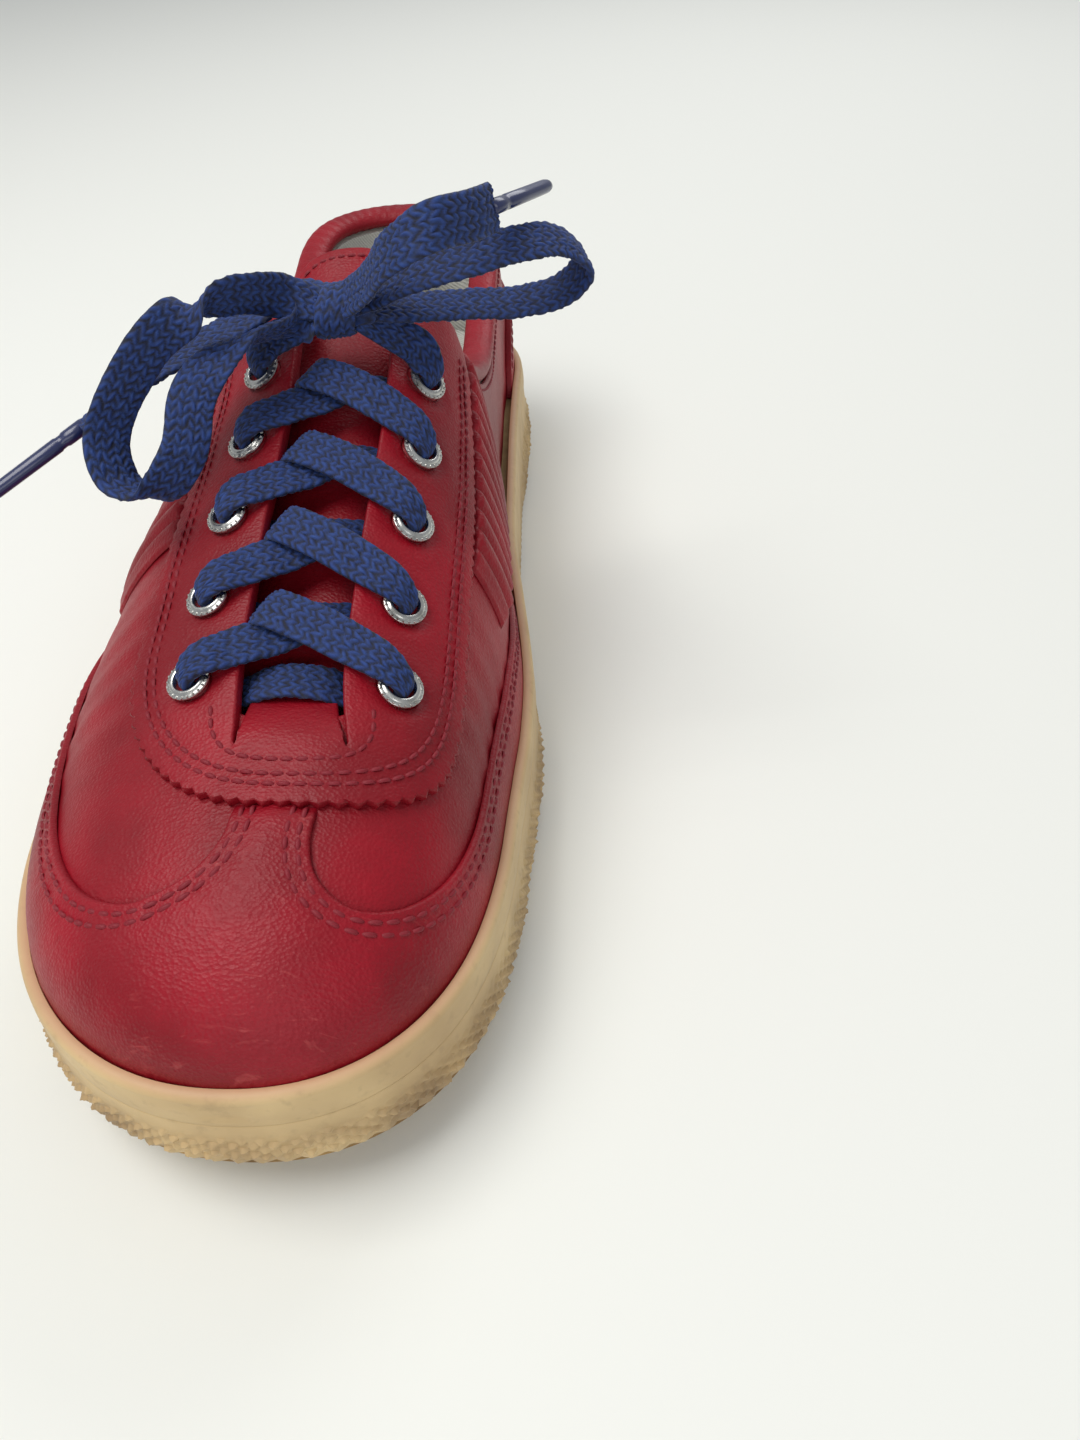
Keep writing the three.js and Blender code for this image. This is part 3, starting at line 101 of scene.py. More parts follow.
class Look:
    """A procedural material, with short ways to add and join its nodes."""

    def __init__(self, name, color, roughness, metallic=0.0, coat=0.0):
        self.material = bpy.data.materials.new(name)
        self.material.use_nodes = True
        self.tree = self.material.node_tree
        self.shader = self.tree.nodes["Principled BSDF"]
        self.put(self.shader, "Base Color", linear(*color))
        self.put(self.shader, "Roughness", roughness)
        self.put(self.shader, "Metallic", metallic)
        self.put(self.shader, "Coat Weight", coat)

    def put(self, node, socket, value):
        if isinstance(value, bpy.types.NodeSocket):
            self.tree.links.new(value, node.inputs[socket])
        else:
            node.inputs[socket].default_value = value

    def add(self, kind, settings=None, **sockets):
        node = self.tree.nodes.new(kind)
        for key, value in (settings or {}).items():
            setattr(node, key, value)
        for key, value in sockets.items():
            self.put(node, key.replace("_", " "), value)
        return node

    def place(self, scale=(1, 1, 1), turned=(0, 0, 0)):
        source = self.add("ShaderNodeTexCoord").outputs["Object"]
        mapping = self.add("ShaderNodeMapping", Vector=source)
        mapping.inputs["Scale"].default_value = scale
        mapping.inputs["Rotation"].default_value = turned
        return mapping.outputs["Vector"]

    def noise(self, scale, detail=3.0, stretch=(1, 1, 1), turned=(0, 0, 0), warp=0.0):
        node = self.add("ShaderNodeTexNoise", Vector=self.place(stretch, turned), Scale=scale,
                        Detail=detail, Distortion=warp)
        return node.outputs["Fac"]

    def cells(self, scale, stretch=(1, 1, 1), feature="F1"):
        node = self.add("ShaderNodeTexVoronoi", {"feature": feature}, Vector=self.place(stretch),
                Scale=scale)
        return node.outputs["Distance"]

    def own(self, name):
        return self.add("ShaderNodeAttribute", {"attribute_name": name}).outputs["Fac"]

    def ramp(self, value, low, high, to_low=0.0, to_high=1.0):
        node = self.add("ShaderNodeMapRange", Value=value, From_Min=low, From_Max=high, To_Min=to_low,
                To_Max=to_high)
        return node.outputs["Result"]

    def math(self, operation, a, b=0.0):
        node = self.tree.nodes.new("ShaderNodeMath")
        node.operation = operation
        self.put(node, 0, a)
        self.put(node, 1, b)
        return node.outputs[0]

    def mix(self, share, a, b):
        node = self.add("ShaderNodeMix", {"data_type": "RGBA"})
        self.put(node, 0, share)
        self.put(node, 6, a if isinstance(a, bpy.types.NodeSocket) else linear(*a))
        self.put(node, 7, b if isinstance(b, bpy.types.NodeSocket) else linear(*b))
        return node.outputs[2]

    def color(self, socket):
        self.put(self.shader, "Base Color", socket)

    def bump(self, height, strength, distance, under=None):
        node = self.add("ShaderNodeBump", Height=height, Strength=strength, Distance=distance)
        if under is not None:
            self.put(node, "Normal", under)
        self.put(self.shader, "Normal", node.outputs["Normal"])
        return node.outputs["Normal"]


floor_look = Look("floor", (236, 237, 231), 0.75)
floor_look.bump(floor_look.noise(900), 0.05, 0.0002)
bpy.ops.mesh.primitive_plane_add(size=6, location=(0, 0, 0))
floor = bpy.context.active_object
floor.name = "floor"
floor.data.materials.append(floor_look.material)

# ---------------------------------------------------------------------------
# Sole unit: cup sole and tread
# ---------------------------------------------------------------------------
# A moulded cream rubber cup that the upper sits in, cemented and stitched round,
# with a tread layer that turns up round the toe and the heel. All sizes are in
# millimetres from here on, along the last on which the shoe was made.
LAST = 266.0
BALL = 44.5
HEEL = 27.5
QUARTER_IN, QUARTER_OUT = 1.35, 2.55
OVERLAY_IN, OVERLAY_OUT = 3.15, 4.35
RIM_OUT = OVERLAY_OUT + 2.4
RIM_LIP = 3.4
OUTSOLE = 4.5
STATIONS, LEVELS = 160, 60


def smooth(low, high, x):
    t = np.clip((np.asarray(x, float) - low) / (high - low), 0, 1)
    return t * t * (3 - 2 * t)


def mix(a, b, t):
    return a + (b - a) * t


def through(pairs):
    """A smooth curve through (share of the last, value) pairs, flat beyond its ends."""
    xs = np.array([p[0] * LAST for p in pairs])
    ys = np.array([p[1] for p in pairs], float)
    before = np.maximum(np.arange(len(xs)) - 1, 0)
    after = np.minimum(np.arange(len(xs)) + 1, len(xs) - 1)
    slope = (ys[after] - ys[before]) / (xs[after] - xs[before])

    def value(x):
        x = np.clip(np.asarray(x, float), xs[0], xs[-1])
        i = np.clip(np.searchsorted(xs, x, side="right") - 1, 0, len(xs) - 2)
        d = xs[i + 1] - xs[i]
        t = (x - xs[i]) / d
        ends = slope[i] * d * t * (1 - t) ** 2 - slope[i + 1] * d * t * t * (1 - t)
        return mix(ys[i], ys[i + 1], t * t * (3 - 2 * t)) + ends

    return value


half_width = through([
    (0, HEEL), (0.17, HEEL), (0.34, BALL * 0.655), (0.43, BALL * 0.7), (0.52, BALL * 0.805), (0.62,
            BALL * 0.925),
    (0.695, BALL * 0.96), (0.75, BALL * 0.945), (0.81, BALL * 0.915), (0.88, BALL * 0.895), (1,
            BALL * 0.895)])
middle = through([(0, 0), (0.23, 0), (0.38, 0), (0.52, -1.4), (0.63, -3.2), (0.74, -3.9), (0.86, -1.8),
        (1, 3.5)])
crest = through([(0, 0), (0.23, 2), (0.42, 7), (0.57, 8), (0.7, 7), (0.78, 7.2), (0.87, 10), (0.95, 7.5),
        (1, 3.5)])
instep_rise = through([
    (0, 1.24), (0.23, 1.2), (0.34, 1.07), (0.42, 0.925), (0.48, 0.79), (0.535, 0.665), (0.61, 0.53), (0.67,
            0.43),
    (0.725, 0.33), (0.795, 0.23), (0.84, 0.16), (0.9, 0.085), (0.95, 0.033), (1, 0)])
feather_height = through([(0, 27), (0.15, 25.5), (0.34, 22.5), (0.57, 20.5), (0.72, 20.5), (0.855, 22.5),
        (1, 27.5)])
squareness = through([(0, 2.7), (0.3, 2.6), (0.46, 2.2), (0.61, 2), (0.76, 2.05), (0.91, 2.2), (1, 2.2)])


def closing(left, length, power):
    return (1 - (1 - np.clip(left / length, 0, 1)) ** power) ** (1 / power)


def last_point(a, turn, side):
    close_heel = closing(a, 30, 2.3)
    close_toe = closing(LAST - a, 55, 2.2)
    low = feather_height(a)
    high = low + (43.5 + 60 * instep_rise(a) - low) * closing(LAST - a, 32, 2.4)
    instep = smooth(85, 130, a) * (1 - smooth(215, 245, a))
    fullness = squareness(a) * (1 + instep * np.where(side > 0, 0.13, -0.07))
    angle = (1 - turn) * np.pi / 2
    edge = middle(a) + side * half_width(a) * close_heel * close_toe
    ridge = mix(middle(a), crest(a), close_toe * close_heel)
    x = ridge + (edge - ridge) * np.maximum(np.cos(angle), 0) ** (2 / fullness)
    z = low + (high - low) * np.maximum(np.sin(angle), 0) ** (2 / fullness)
    lean = 3.2 * ((z - 42) / 32) ** 2 * (1 - smooth(0, 60, a))
    return np.stack([x, -a - lean, z], -1)


def station_at(i):
    return LAST * (1 - np.cos(np.pi * np.asarray(i, float) / STATIONS)) / 2


def station_of(a):
    return STATIONS * np.arccos(np.clip(1 - 2 * np.asarray(a, float) / LAST, -1, 1)) / np.pi


def last_at(station, level, side):
    return last_point(station_at(np.clip(station, 0, STATIONS)), np.clip(level, 0, LEVELS) / LEVELS, side)


def length_along(points, axis):
    steps = np.linalg.norm(np.diff(points, axis=axis), axis=-1)
    start = np.zeros_like(np.take(steps, [0], axis))
    return np.concatenate([start, np.cumsum(steps, axis)], axis)


all_stations = np.arange(STATIONS + 1.0)
girths, feather_run, level_of_girth = {}, {}, {}
FINE = 600
for side in (1, -1):
    grid = last_at(all_stations[:, None], np.arange(LEVELS + 1.0)[None, :],
            np.full((STATIONS + 1, 1), side))
    girths[side] = length_along(grid, 1)
    feather_run[side] = length_along(grid[:, -1], 0)
    level_of_girth[side] = np.array(
        [np.interp(np.linspace(0, 1, FINE + 1) * g[-1], g, np.arange(LEVELS + 1.0)) if g[-1] > 1e-6
         else np.linspace(0, LEVELS, FINE + 1) for g in girths[side]])
crest_run = length_along(last_at(all_stations, 0 * all_stations, 1 + 0 * all_stations), 0)


def by_side(value, side):
    """value(side) for each point, with the side it lies on."""
    side = np.asarray(side)
    return np.where(side > 0, value(1), value(-1))


def girth_to(station, level, side):
    def one(s):
        i = np.clip(np.floor(station).astype(int), 0, STATIONS - 1)
        l = np.clip(np.floor(level).astype(int), 0, LEVELS - 1)
        g = girths[s]
        low = mix(g[i, l], g[i, l + 1], level - l)
        return mix(low, mix(g[i + 1, l], g[i + 1, l + 1], level - l), station - i)

    station, level = np.broadcast_arrays(np.asarray(station, float), np.asarray(level, float))
    return by_side(one, side)


def level_at(station, girth, side):
    def one(s):
        i = np.clip(np.floor(station).astype(int), 0, STATIONS - 1)

        def row(j):
            share = np.clip(girth / np.maximum(girths[s][j, -1], 1e-6), 0, 1) * FINE
            k = np.clip(np.floor(share).astype(int), 0, FINE - 1)
            return mix(level_of_girth[s][j, k], level_of_girth[s][j, k + 1], share - k)

        return mix(row(i), row(i + 1), station - i)

    station, girth = np.broadcast_arrays(np.asarray(station, float), np.asarray(girth, float))
    return by_side(one, side)


def whole_girth(a, side):
    return girth_to(station_of(a), LEVELS + 0.0, side)


def outside(station, level, side, lift):
    """The place lift mm outside the last, and the way out there."""
    s = np.clip(station, 0.4, STATIONS - 0.4)
    l = np.clip(level, 0, LEVELS - 0.02)
    along = last_at(s + 0.3, l, side) - last_at(s - 0.3, l, side)
    near = l < 0.3
    other = last_at(s, np.where(near, 0.3 - l, l - 0.3), np.where(near, -side, side))
    down = last_at(s, l + 0.3, side) - other
    normal = np.cross(along, down) * side[..., None]
    normal /= np.linalg.norm(normal, axis=-1, keepdims=True)
    flat = np.where((level > LEVELS - 1)[..., None], normal * [1, 1, 0], normal)
    flat /= np.linalg.norm(flat, axis=-1, keepdims=True)
    return last_at(station, level, side) + flat * np.asarray(lift)[..., None], flat


class Over:
    """Flat pattern across the crest: u runs along it, v is the girth from it, medial side positive."""

    @staticmethod
    def flat(a, q):
        a, q = np.broadcast_arrays(np.asarray(a, float), np.asarray(q, float))
        return np.stack([np.interp(station_of(a), all_stations, crest_run), q], -1)

    @staticmethod
    def last(u, v):
        side = np.where(v < 0, -1, 1)
        station = np.interp(u, crest_run, all_stations)
        return station, level_at(station, np.abs(v), side), side


class Around:
    """Flat pattern round the heel: u runs along the lower edge from the heel, v is the girth up from it."""

    @staticmethod
    def flat(a, height, side):
        a, height = np.broadcast_arrays(np.asarray(a, float), np.asarray(height, float))
        run = np.interp(station_of(a), all_stations, feather_run[side])
        return np.stack([side * run, height], -1)

    @staticmethod
    def last(u, v):
        side = np.where(u < 0, -1, 1)
        station = by_side(lambda s: np.interp(np.abs(u), feather_run[s], all_stations), side)
        whole = girth_to(station, LEVELS + 0.0, side)
        return station, level_at(station, whole - v, side), side


def from_crest(a, q, side):
    return Around.flat(a, whole_girth(a, side) - q, side)


def spot(chart, places, lift):
    u, v = places[..., 0], places[..., 1]
    station, level, side = chart.last(u, v)
    return outside(station, level, side, np.broadcast_to(lift, u.shape))


# The frame's shift from the last's own origin, read from a piece that both have.
shank_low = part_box("shank")[0]
shank_stops = np.linspace(58, 154, 11)
SHIFT = np.array([shank_low[0] * 1000 - (middle(shank_stops).min() - 6.5), shank_low[1] * 1000 + 154, 0.0])


def make(name, points, faces, look, angle=40, marks=None):
    """A mesh object from points in mm and faces, turned so that its faces point out."""
    points = np.asarray(points, float)
    volume = 0.0
    flat = [f for f in faces]
    triangles = np.array([(f[0], f[i], f[i + 1]) for f in flat for i in range(1, len(f) - 1)])
    a, b, c = (points[triangles[:, k]] for k in range(3))
    volume = np.einsum("ij,ij->i", a, np.cross(b, c)).sum()
    if volume < 0:
        flat = [tuple(reversed(f)) for f in flat]
    mesh = bpy.data.meshes.new(name)
    mesh.from_pydata(((points + SHIFT) / 1000).tolist(), [], flat)
    for key, values in (marks or {}).items():
        mesh.attributes.new(key, "FLOAT", "POINT").data.foreach_set("value", np.asarray(values, np.float32))
    mesh.polygons.foreach_set("use_smooth", [True] * len(mesh.polygons))
    mesh.set_sharp_from_angle(angle=math.radians(angle))
    mesh.materials.append(look.material)
    thing = bpy.data.objects.new(name, mesh)
    bpy.context.scene.collection.objects.link(thing)
    return thing


def band_faces(rows, columns, closed_rows=False):
    """Quads between rows of points, each row closed on itself."""
    faces = []
    for r in range(rows if closed_rows else rows - 1):
        s = (r + 1) % rows
        for k in range(columns):
            n = (k + 1) % columns
            faces.append((r * columns + k, r * columns + n, s * columns + n, s * columns + k))
    return faces


SOLE_STEPS = 620


def ring_places(count=SOLE_STEPS):
    """Stations and sides, evenly spaced, once round the sole from the heel."""
    runs = [np.interp(np.linspace(0, feather_run[s][-1], count + 1), feather_run[s],
            all_stations) for s in (1, -1)]
    station = np.concatenate([runs[0], runs[1][-2:0:-1]])
    side = np.concatenate([np.full(count + 1, 1), np.full(count - 1, -1)])
    return station, side


ring_station, ring_side = ring_places()
ring_a = station_at(ring_station)
ring_base, ring_out = outside(ring_station, np.full(ring_station.shape, LEVELS + 0.0), ring_side,
        0 * ring_a)
ring_base[:, 2] = 0
loop_gap = np.linalg.norm(ring_base - np.roll(ring_base, 1, 0), axis=1)
ring_run = np.cumsum(loop_gap)
RING = len(ring_a)


def ring(offset, height):
    points = ring_base + ring_out * np.broadcast_to(offset, ring_a.shape)[:, None]
    points[:, 2] = height
    return points


def plate(ring_points, columns, dent=None):
    """Points across a closed ring, from one side to the other, for the quads that fill it."""
    half = RING // 2
    near = ring_points[1:half]
    far = ring_points[:half:-1]
    share = np.linspace(0, 1, columns + 1)[1:-1]
    inner = near[:, None] * (1 - share)[:, None] + far[:, None] * share[:, None]
    if dent is not None:
        inner[..., 2] += dent(inner[..., 0], inner[..., 1])
    return inner.reshape(-1, 3)


def plate_faces(base, start, columns):
    """Quads of plate(): base is the ring's first point's index, start the inner points' first."""
    half = RING // 2
    across = columns - 1

    def index(row, column):
        if column == 0:
            return base + 1 + row
        if column == columns:
            return base + RING - 1 - row
        return start + row * across + column - 1

    faces = [(index(r, c), index(r, c + 1), index(r + 1, c + 1), index(r + 1, c))
             for r in range(half - 2) for c in range(columns)]
    for row, tip in ((0, base), (half - 2, base + half)):
        faces += [(index(row, c), tip, index(row, c + 1)) if row == 0 else (tip, index(row, c),
                index(row, c + 1))
                  for c in range(columns)]
    return faces


def ring_solid(name, rings, look, columns=16, dents=(None, None), marks=None, angle=40):
    """Rings joined one after another, with a plate over the first and the last."""
    points = [np.vstack(rings)]
    faces = band_faces(len(rings), RING)
    count = len(rings) * RING
    for base, dent, flip in ((0, dents[0], False), ((len(rings) - 1) * RING, dents[1], True)):
        inner = plate(rings[0 if not flip else -1], columns, dent)
        fill = plate_faces(base, count, columns)
        faces += [tuple(reversed(f)) for f in fill] if not flip else fill
        points.append(inner)
        count += len(inner)
    values = None
    if marks:
        values = {k: np.concatenate([np.concatenate(v), np.zeros(count - len(rings) * RING)]) for k,
                v in marks.items()}
    return make(name, np.vstack(points), faces, look, angle, values)


spring = 12.8 * smooth(0.7 * LAST, 1.12 * LAST, ring_a) + 1.5 * (1 - smooth(0, 14, ring_a))
sole_top = spring + OUTSOLE
rim_top = feather_height(ring_a) + RIM_LIP
turned_up = np.maximum(smooth(160, 176, ring_a), 1 - smooth(52, 70, ring_a))
wrap_top = mix(sole_top + 1.8, rim_top - 8, turned_up)

rubber = Look("cream_rubber", (206, 176, 128), 0.55)
# Darker towards the bottom of the sole, where the low mark is high, broken up by noise.
low_darkening = rubber.math("MULTIPLY", rubber.own("low"), rubber.ramp(rubber.noise(90, 4), 0.35, 0.7))
speck = rubber.ramp(rubber.noise(420, 3), 0.56, 0.72)
sole_tone = rubber.mix(rubber.ramp(rubber.noise(45, 3), 0.35, 0.7), (212, 184, 134), (190, 160, 114))
darkened_low = rubber.mix(low_darkening, sole_tone, (138, 112, 80))
worn = rubber.mix(rubber.math("MULTIPLY", speck, 0.25), darkened_low, (150, 122, 88))
rubber.color(rubber.mix(rubber.own("lip"), worn, (208, 162, 128)))
rubber.bump(rubber.noise(700, 4), 0.12, 0.0003)

PEBBLE = 2.8
TOOTH = 3.3
fine = np.sin(ring_run * 2 * np.pi / PEBBLE)
saw = (ring_run / TOOTH) % 1
tooth = (1 - np.abs(2 * saw - 1)) ** 0.8
flare = 1.4 * mix(0.3, 1, turned_up)
front = smooth(150, 175, ring_a) + 1 - smooth(45, 70, ring_a)

tread_rings, low_mark, lip_mark = [], [], []


def tread_ring(offset, height, low):
    tread_rings.append(ring(offset, height))
    low_mark.append(np.broadcast_to(low, ring_a.shape))
    lip_mark.append(np.zeros(RING))


for t in np.linspace(0, 1, 4):
    tread_ring(RIM_OUT - 3.5 + t * (flare + 2.3), spring + 0.9 * t * t, 1)
for t in np.linspace(0, 1, 7):
    tread_ring(RIM_OUT + flare - 1.2 + 1.2 * np.sin(t * np.pi / 2)
            - 1.3 * (0.35 + 0.65 * front) * (1 - tooth) * (0.35 + 0.65 * t),
               mix(spring + 0.9, sole_top - 1, t), 1)
WRAP_ROWS = 24
for i, t in enumerate(np.linspace(0, 1, WRAP_ROWS + 1)[1:]):
    height = mix(sole_top - 1, wrap_top, t)
    nub = 1.0 * (fine * math.sin(math.pi * i / 3)).clip(0) ** 0.7 * (1 - smooth(0.55, 0.78, t)) * front
    nub = nub * (0.75 + 0.25 * np.sin(ring_run * 0.9 + i * 1.7)) - 1.3 * (1 - tooth) * (0.35
            + 0.65 * front) * max(0, 1 - 4 * t)
    tread_ring(mix(RIM_OUT + flare, RIM_OUT + 0.05, t ** 0.85) + nub, height, 1 - t)
tread_ring(RIM_OUT, wrap_top + 0.12, 0)
tread_ring(RIM_OUT - 1.8, wrap_top + 0.15, 0)
tread_ring(RIM_OUT - 1.8, sole_top, 0)


def tread_pattern(x, y):
    wave = np.abs(((y + 2.2 * np.sin(x * 0.55)) / 5.5) % 1 - 0.5)
    return 1.3 * smooth(0.36, 0.44, wave)


outsole = ring_solid("tread", tread_rings, rubber, columns=44, dents=(tread_pattern, None),
                     marks={"low": low_mark, "lip": lip_mark})
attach(outsole, "shoe")
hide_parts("outsole")

cup_wall = OVERLAY_OUT + 0.1
board_under = feather_height(ring_a) - 2.35
cup_rings, low_mark, lip_mark = [], [], []


def cup_ring(offset, height, low=0.0, lip=0.0):
    cup_rings.append(ring(offset, height))
    low_mark.append(np.broadcast_to(low, ring_a.shape))
    lip_mark.append(np.full(RING, lip))


notch = 0.5 * np.exp(-((ring_a - LAST) / 0.12) ** 2)
cup_ring(RIM_OUT - 2.15, sole_top + 0.35)
cup_ring(RIM_OUT - 2.15, wrap_top + 0.18)
cup_ring(RIM_OUT - 0.02, wrap_top + 0.15, 0.2)
for t in np.linspace(0, 1, 9):
    swell = 0.25 * np.sin(np.pi * t)
    cup_ring(RIM_OUT + 0.02 + swell - notch * (t > 0.3), mix(wrap_top + 0.3, rim_top - 1.5, t),
            0.2 * (1 - t))
for angle in np.linspace(0, 1.57, 8):
    cup_ring(RIM_OUT - 1.4 + 1.42 * np.cos(angle), rim_top - 1.4 + 1.4 * np.sin(angle), 0,
            0.6 * math.sin(angle) ** 3)
cup_ring(cup_wall + 0.5, rim_top, 0, 0.8)
cup_ring(cup_wall + 0.1, rim_top - 0.12, 0, 0.6)
cup_ring(cup_wall, rim_top - 0.4, 0, 0.4)
cup_ring(cup_wall, board_under - 0.35)
cup = ring_solid("cup_sole", cup_rings, rubber, columns=10, marks={"low": low_mark, "lip": lip_mark},
        angle=50)
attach(cup, "shoe")
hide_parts("midsole")

# ---------------------------------------------------------------------------
# Footbed, insole board and shank
# ---------------------------------------------------------------------------
# A foam footbed covered in grey cloth lies loose in the cup, over a fibre board
# and a steel shank that are cemented into it.
def bed_ring(offset, height):
    return ring(-3 - offset, feather_height(ring_a) + 0.35 + height)


bed_rings = [bed_ring(0.6, 0)] + [bed_ring(0.8 * (1 - math.sin(t)), 5.4 * t / 1.57
        - 0.1) for t in np.linspace(0.2, 1.57, 5)]
bed_rings.append(bed_ring(0.5, 5.7))
bed_rings.append(bed_ring(1.6, 5.75))
cloth = Look("grey_lining", (190, 190, 183), 0.95)
thread_rows = cloth.add("ShaderNodeTexWave", {"bands_direction": "DIAGONAL"}, Vector=cloth.place((1, 1, 1)),
                        Scale=520, Distortion=1.2, Detail=1).outputs["Fac"]
cloth.color(cloth.mix(cloth.math("MULTIPLY", thread_rows, cloth.noise(1600, 2)), (206, 206, 199),
        (150, 150, 144)))
cloth.bump(thread_rows, 0.35, 0.0003)


def footbed_shape(x, y):
    return 0.5 * np.sin(y / 30) - 0.8 * np.exp(-((x - 2) / 16) ** 2) * smooth(-60, -20, y)


footbed = ring_solid("footbed", bed_rings, cloth, columns=30, dents=(None, footbed_shape))
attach(footbed, "shoe")
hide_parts("footbed_foam", "footbed_cover")

board = Look("fibre_board", (178, 150, 104), 0.9)
board.color(board.mix(board.noise(300, 4), (192, 164, 116), (150, 124, 84)))
steel = Look("shank_steel", (176, 178, 180), 0.35, 1.0)
steel.bump(steel.noise(60, 2, (1, 12, 1)), 0.1, 0.0002)
shell = Look("stiffener_board", (206, 199, 178), 0.85)
shell.bump(shell.noise(500, 3), 0.2, 0.0002)
for name, look in (("insole_board", board), ("shank", steel), ("toe_puff", shell),
        ("heel_stiffener", shell)):
    slot = nodes[name].material_slots[0]
    slot.link = "OBJECT"
    slot.material = look.material


# ---------------------------------------------------------------------------
# Side lobes: the two quarters
# ---------------------------------------------------------------------------
# One crimson leather side each, cut flat and pulled over the last: from the heel
# seam to a lobe that runs under the toe piece. Lasted and cemented under the board.
def grained(name, color, bright, dark, wear=0.0, grain=1.0):
    look = Look(name, color, 0.46)
    look.put(look.shader, "Specular IOR Level", 0.32)
    broad = look.ramp(look.noise(38, 4), 0.36, 0.66)
    tone = look.mix(broad, dark, bright)
    pores = look.cells(1500, (1, 1.25, 1))
    creases = look.noise(850, 5, (1, 1.5, 1), (0.2, 0.1, 0.5), 0.8)
    tone = look.mix(look.math("MULTIPLY", look.ramp(creases, 0.5, 0.3), 0.3), tone, dark)
    tone = look.mix(look.math("MULTIPLY", look.ramp(look.own("edge"), 0.6, 0.1), 0.5), tone, dark)
    if wear:
        streaks = look.ramp(look.noise(150, 6, (1, 4, 1), (0, 0, 0.7), 2), 0.6, 0.74)
        patch = look.ramp(look.noise(26, 2), 0.45, 0.62)
        scuff = look.math("MULTIPLY", streaks, patch)
        tone = look.mix(look.math("MULTIPLY", scuff, wear), tone, (206, 96, 92))
    look.color(tone)
    look.put(look.shader, "Roughness", look.ramp(creases, 0.25, 0.75, 0.5, 0.4))
    under = look.bump(look.noise(95, 3, (1, 1.8, 1)), 0.07, 0.001)
    under = look.bump(creases, 0.2 * grain, 0.0005, under)
    look.bump(pores, 0.32 * grain, 0.0003, under)
    return look


leather = grained("crimson_leather", (146, 8, 28), (156, 11, 32), (124, 5, 21))
toe_leather = grained("crimson_toe_leather", (148, 8, 29), (158, 12, 34), (126, 5, 22), wear=0.3,
        grain=1.15)
UNDER_EDGE = 2.65
lining = cloth


def fill(points, gap, closed=True):
    """The same line with its long stretches cut into short ones; its corners stay."""
    points = np.asarray(points, float)
    out = []
    for i in range(len(points) if closed else len(points) - 1):
        a, b = points[i], points[(i + 1) % len(points)]
        n = max(1, int(math.ceil(np.linalg.norm(b - a) / gap)))
        out += [a + (b - a) * k / n for k in range(n)]
    if not closed:
        out.append(points[-1])
    out = np.array(out)
    apart = np.linalg.norm(out - np.roll(out, 1, 0), axis=1) > 0.04
    return out[apart] if closed else out


def away(places, line, closed=False):
    """Distance from each flat place to a line."""
    line = np.asarray(line)
    a = line if closed else line[:-1]
    b = np.roll(line, -1, 0) if closed else line[1:]
    best = np.full(len(places), 1e9)
    for p, q in zip(a, b):
        d = q - p
        t = np.clip(((places - p) @ d) / max(d @ d, 1e-12), 0, 1)
        best = np.minimum(best, np.linalg.norm(places - p - t[:, None] * d, axis=1))
    return best


def spline(points, gap):
    """A smooth line through points, with a point about every gap."""
    p = np.asarray(points, float)
    p = np.vstack([2 * p[0] - p[1], p, 2 * p[-1] - p[-2]])
    out = []
    for i in range(1, len(p) - 2):
        d = [max(np.linalg.norm(p[i + k] - p[i + k - 1]), 1e-6) ** 0.5 for k in (0, 1, 2)]
        chord = p[i + 1] - p[i]
        m0 = ((p[i] - p[i - 1]) / d[0] - (p[i + 1] - p[i - 1]) / (d[0] + d[1])) * d[1] + chord
        m1 = chord - (p[i + 2] - p[i]) / (d[1] + d[2]) * d[1] + (p[i + 2] - p[i + 1]) / d[2] * d[1]
        t = np.linspace(0, 1, 24, endpoint=False)[:, None]
        out.append((2 * t**3 - 3 * t**2 + 1) * p[i] + (t**3 - 2 * t**2 + t) * m0
                   + (3 * t**2 - 2 * t**3) * p[i + 1] + (t**3 - t**2) * m1)
    return even(np.vstack(out + [p[-2:-1]]), gap)


def even(line, gap):
    run = length_along(line, 0)
    places = np.linspace(0, run[-1], max(2, int(round(run[-1] / gap)) + 1))
    return np.stack([np.interp(places, run, line[:, k]) for k in range(line.shape[1])], -1)


def beside(line, distance):
    """A line beside an open line, on its left for a positive distance."""
    run = np.gradient(line, axis=0)
    run /= np.linalg.norm(run, axis=1, keepdims=True)
    return line + np.stack([-run[:, 1], run[:, 0]], -1) * distance


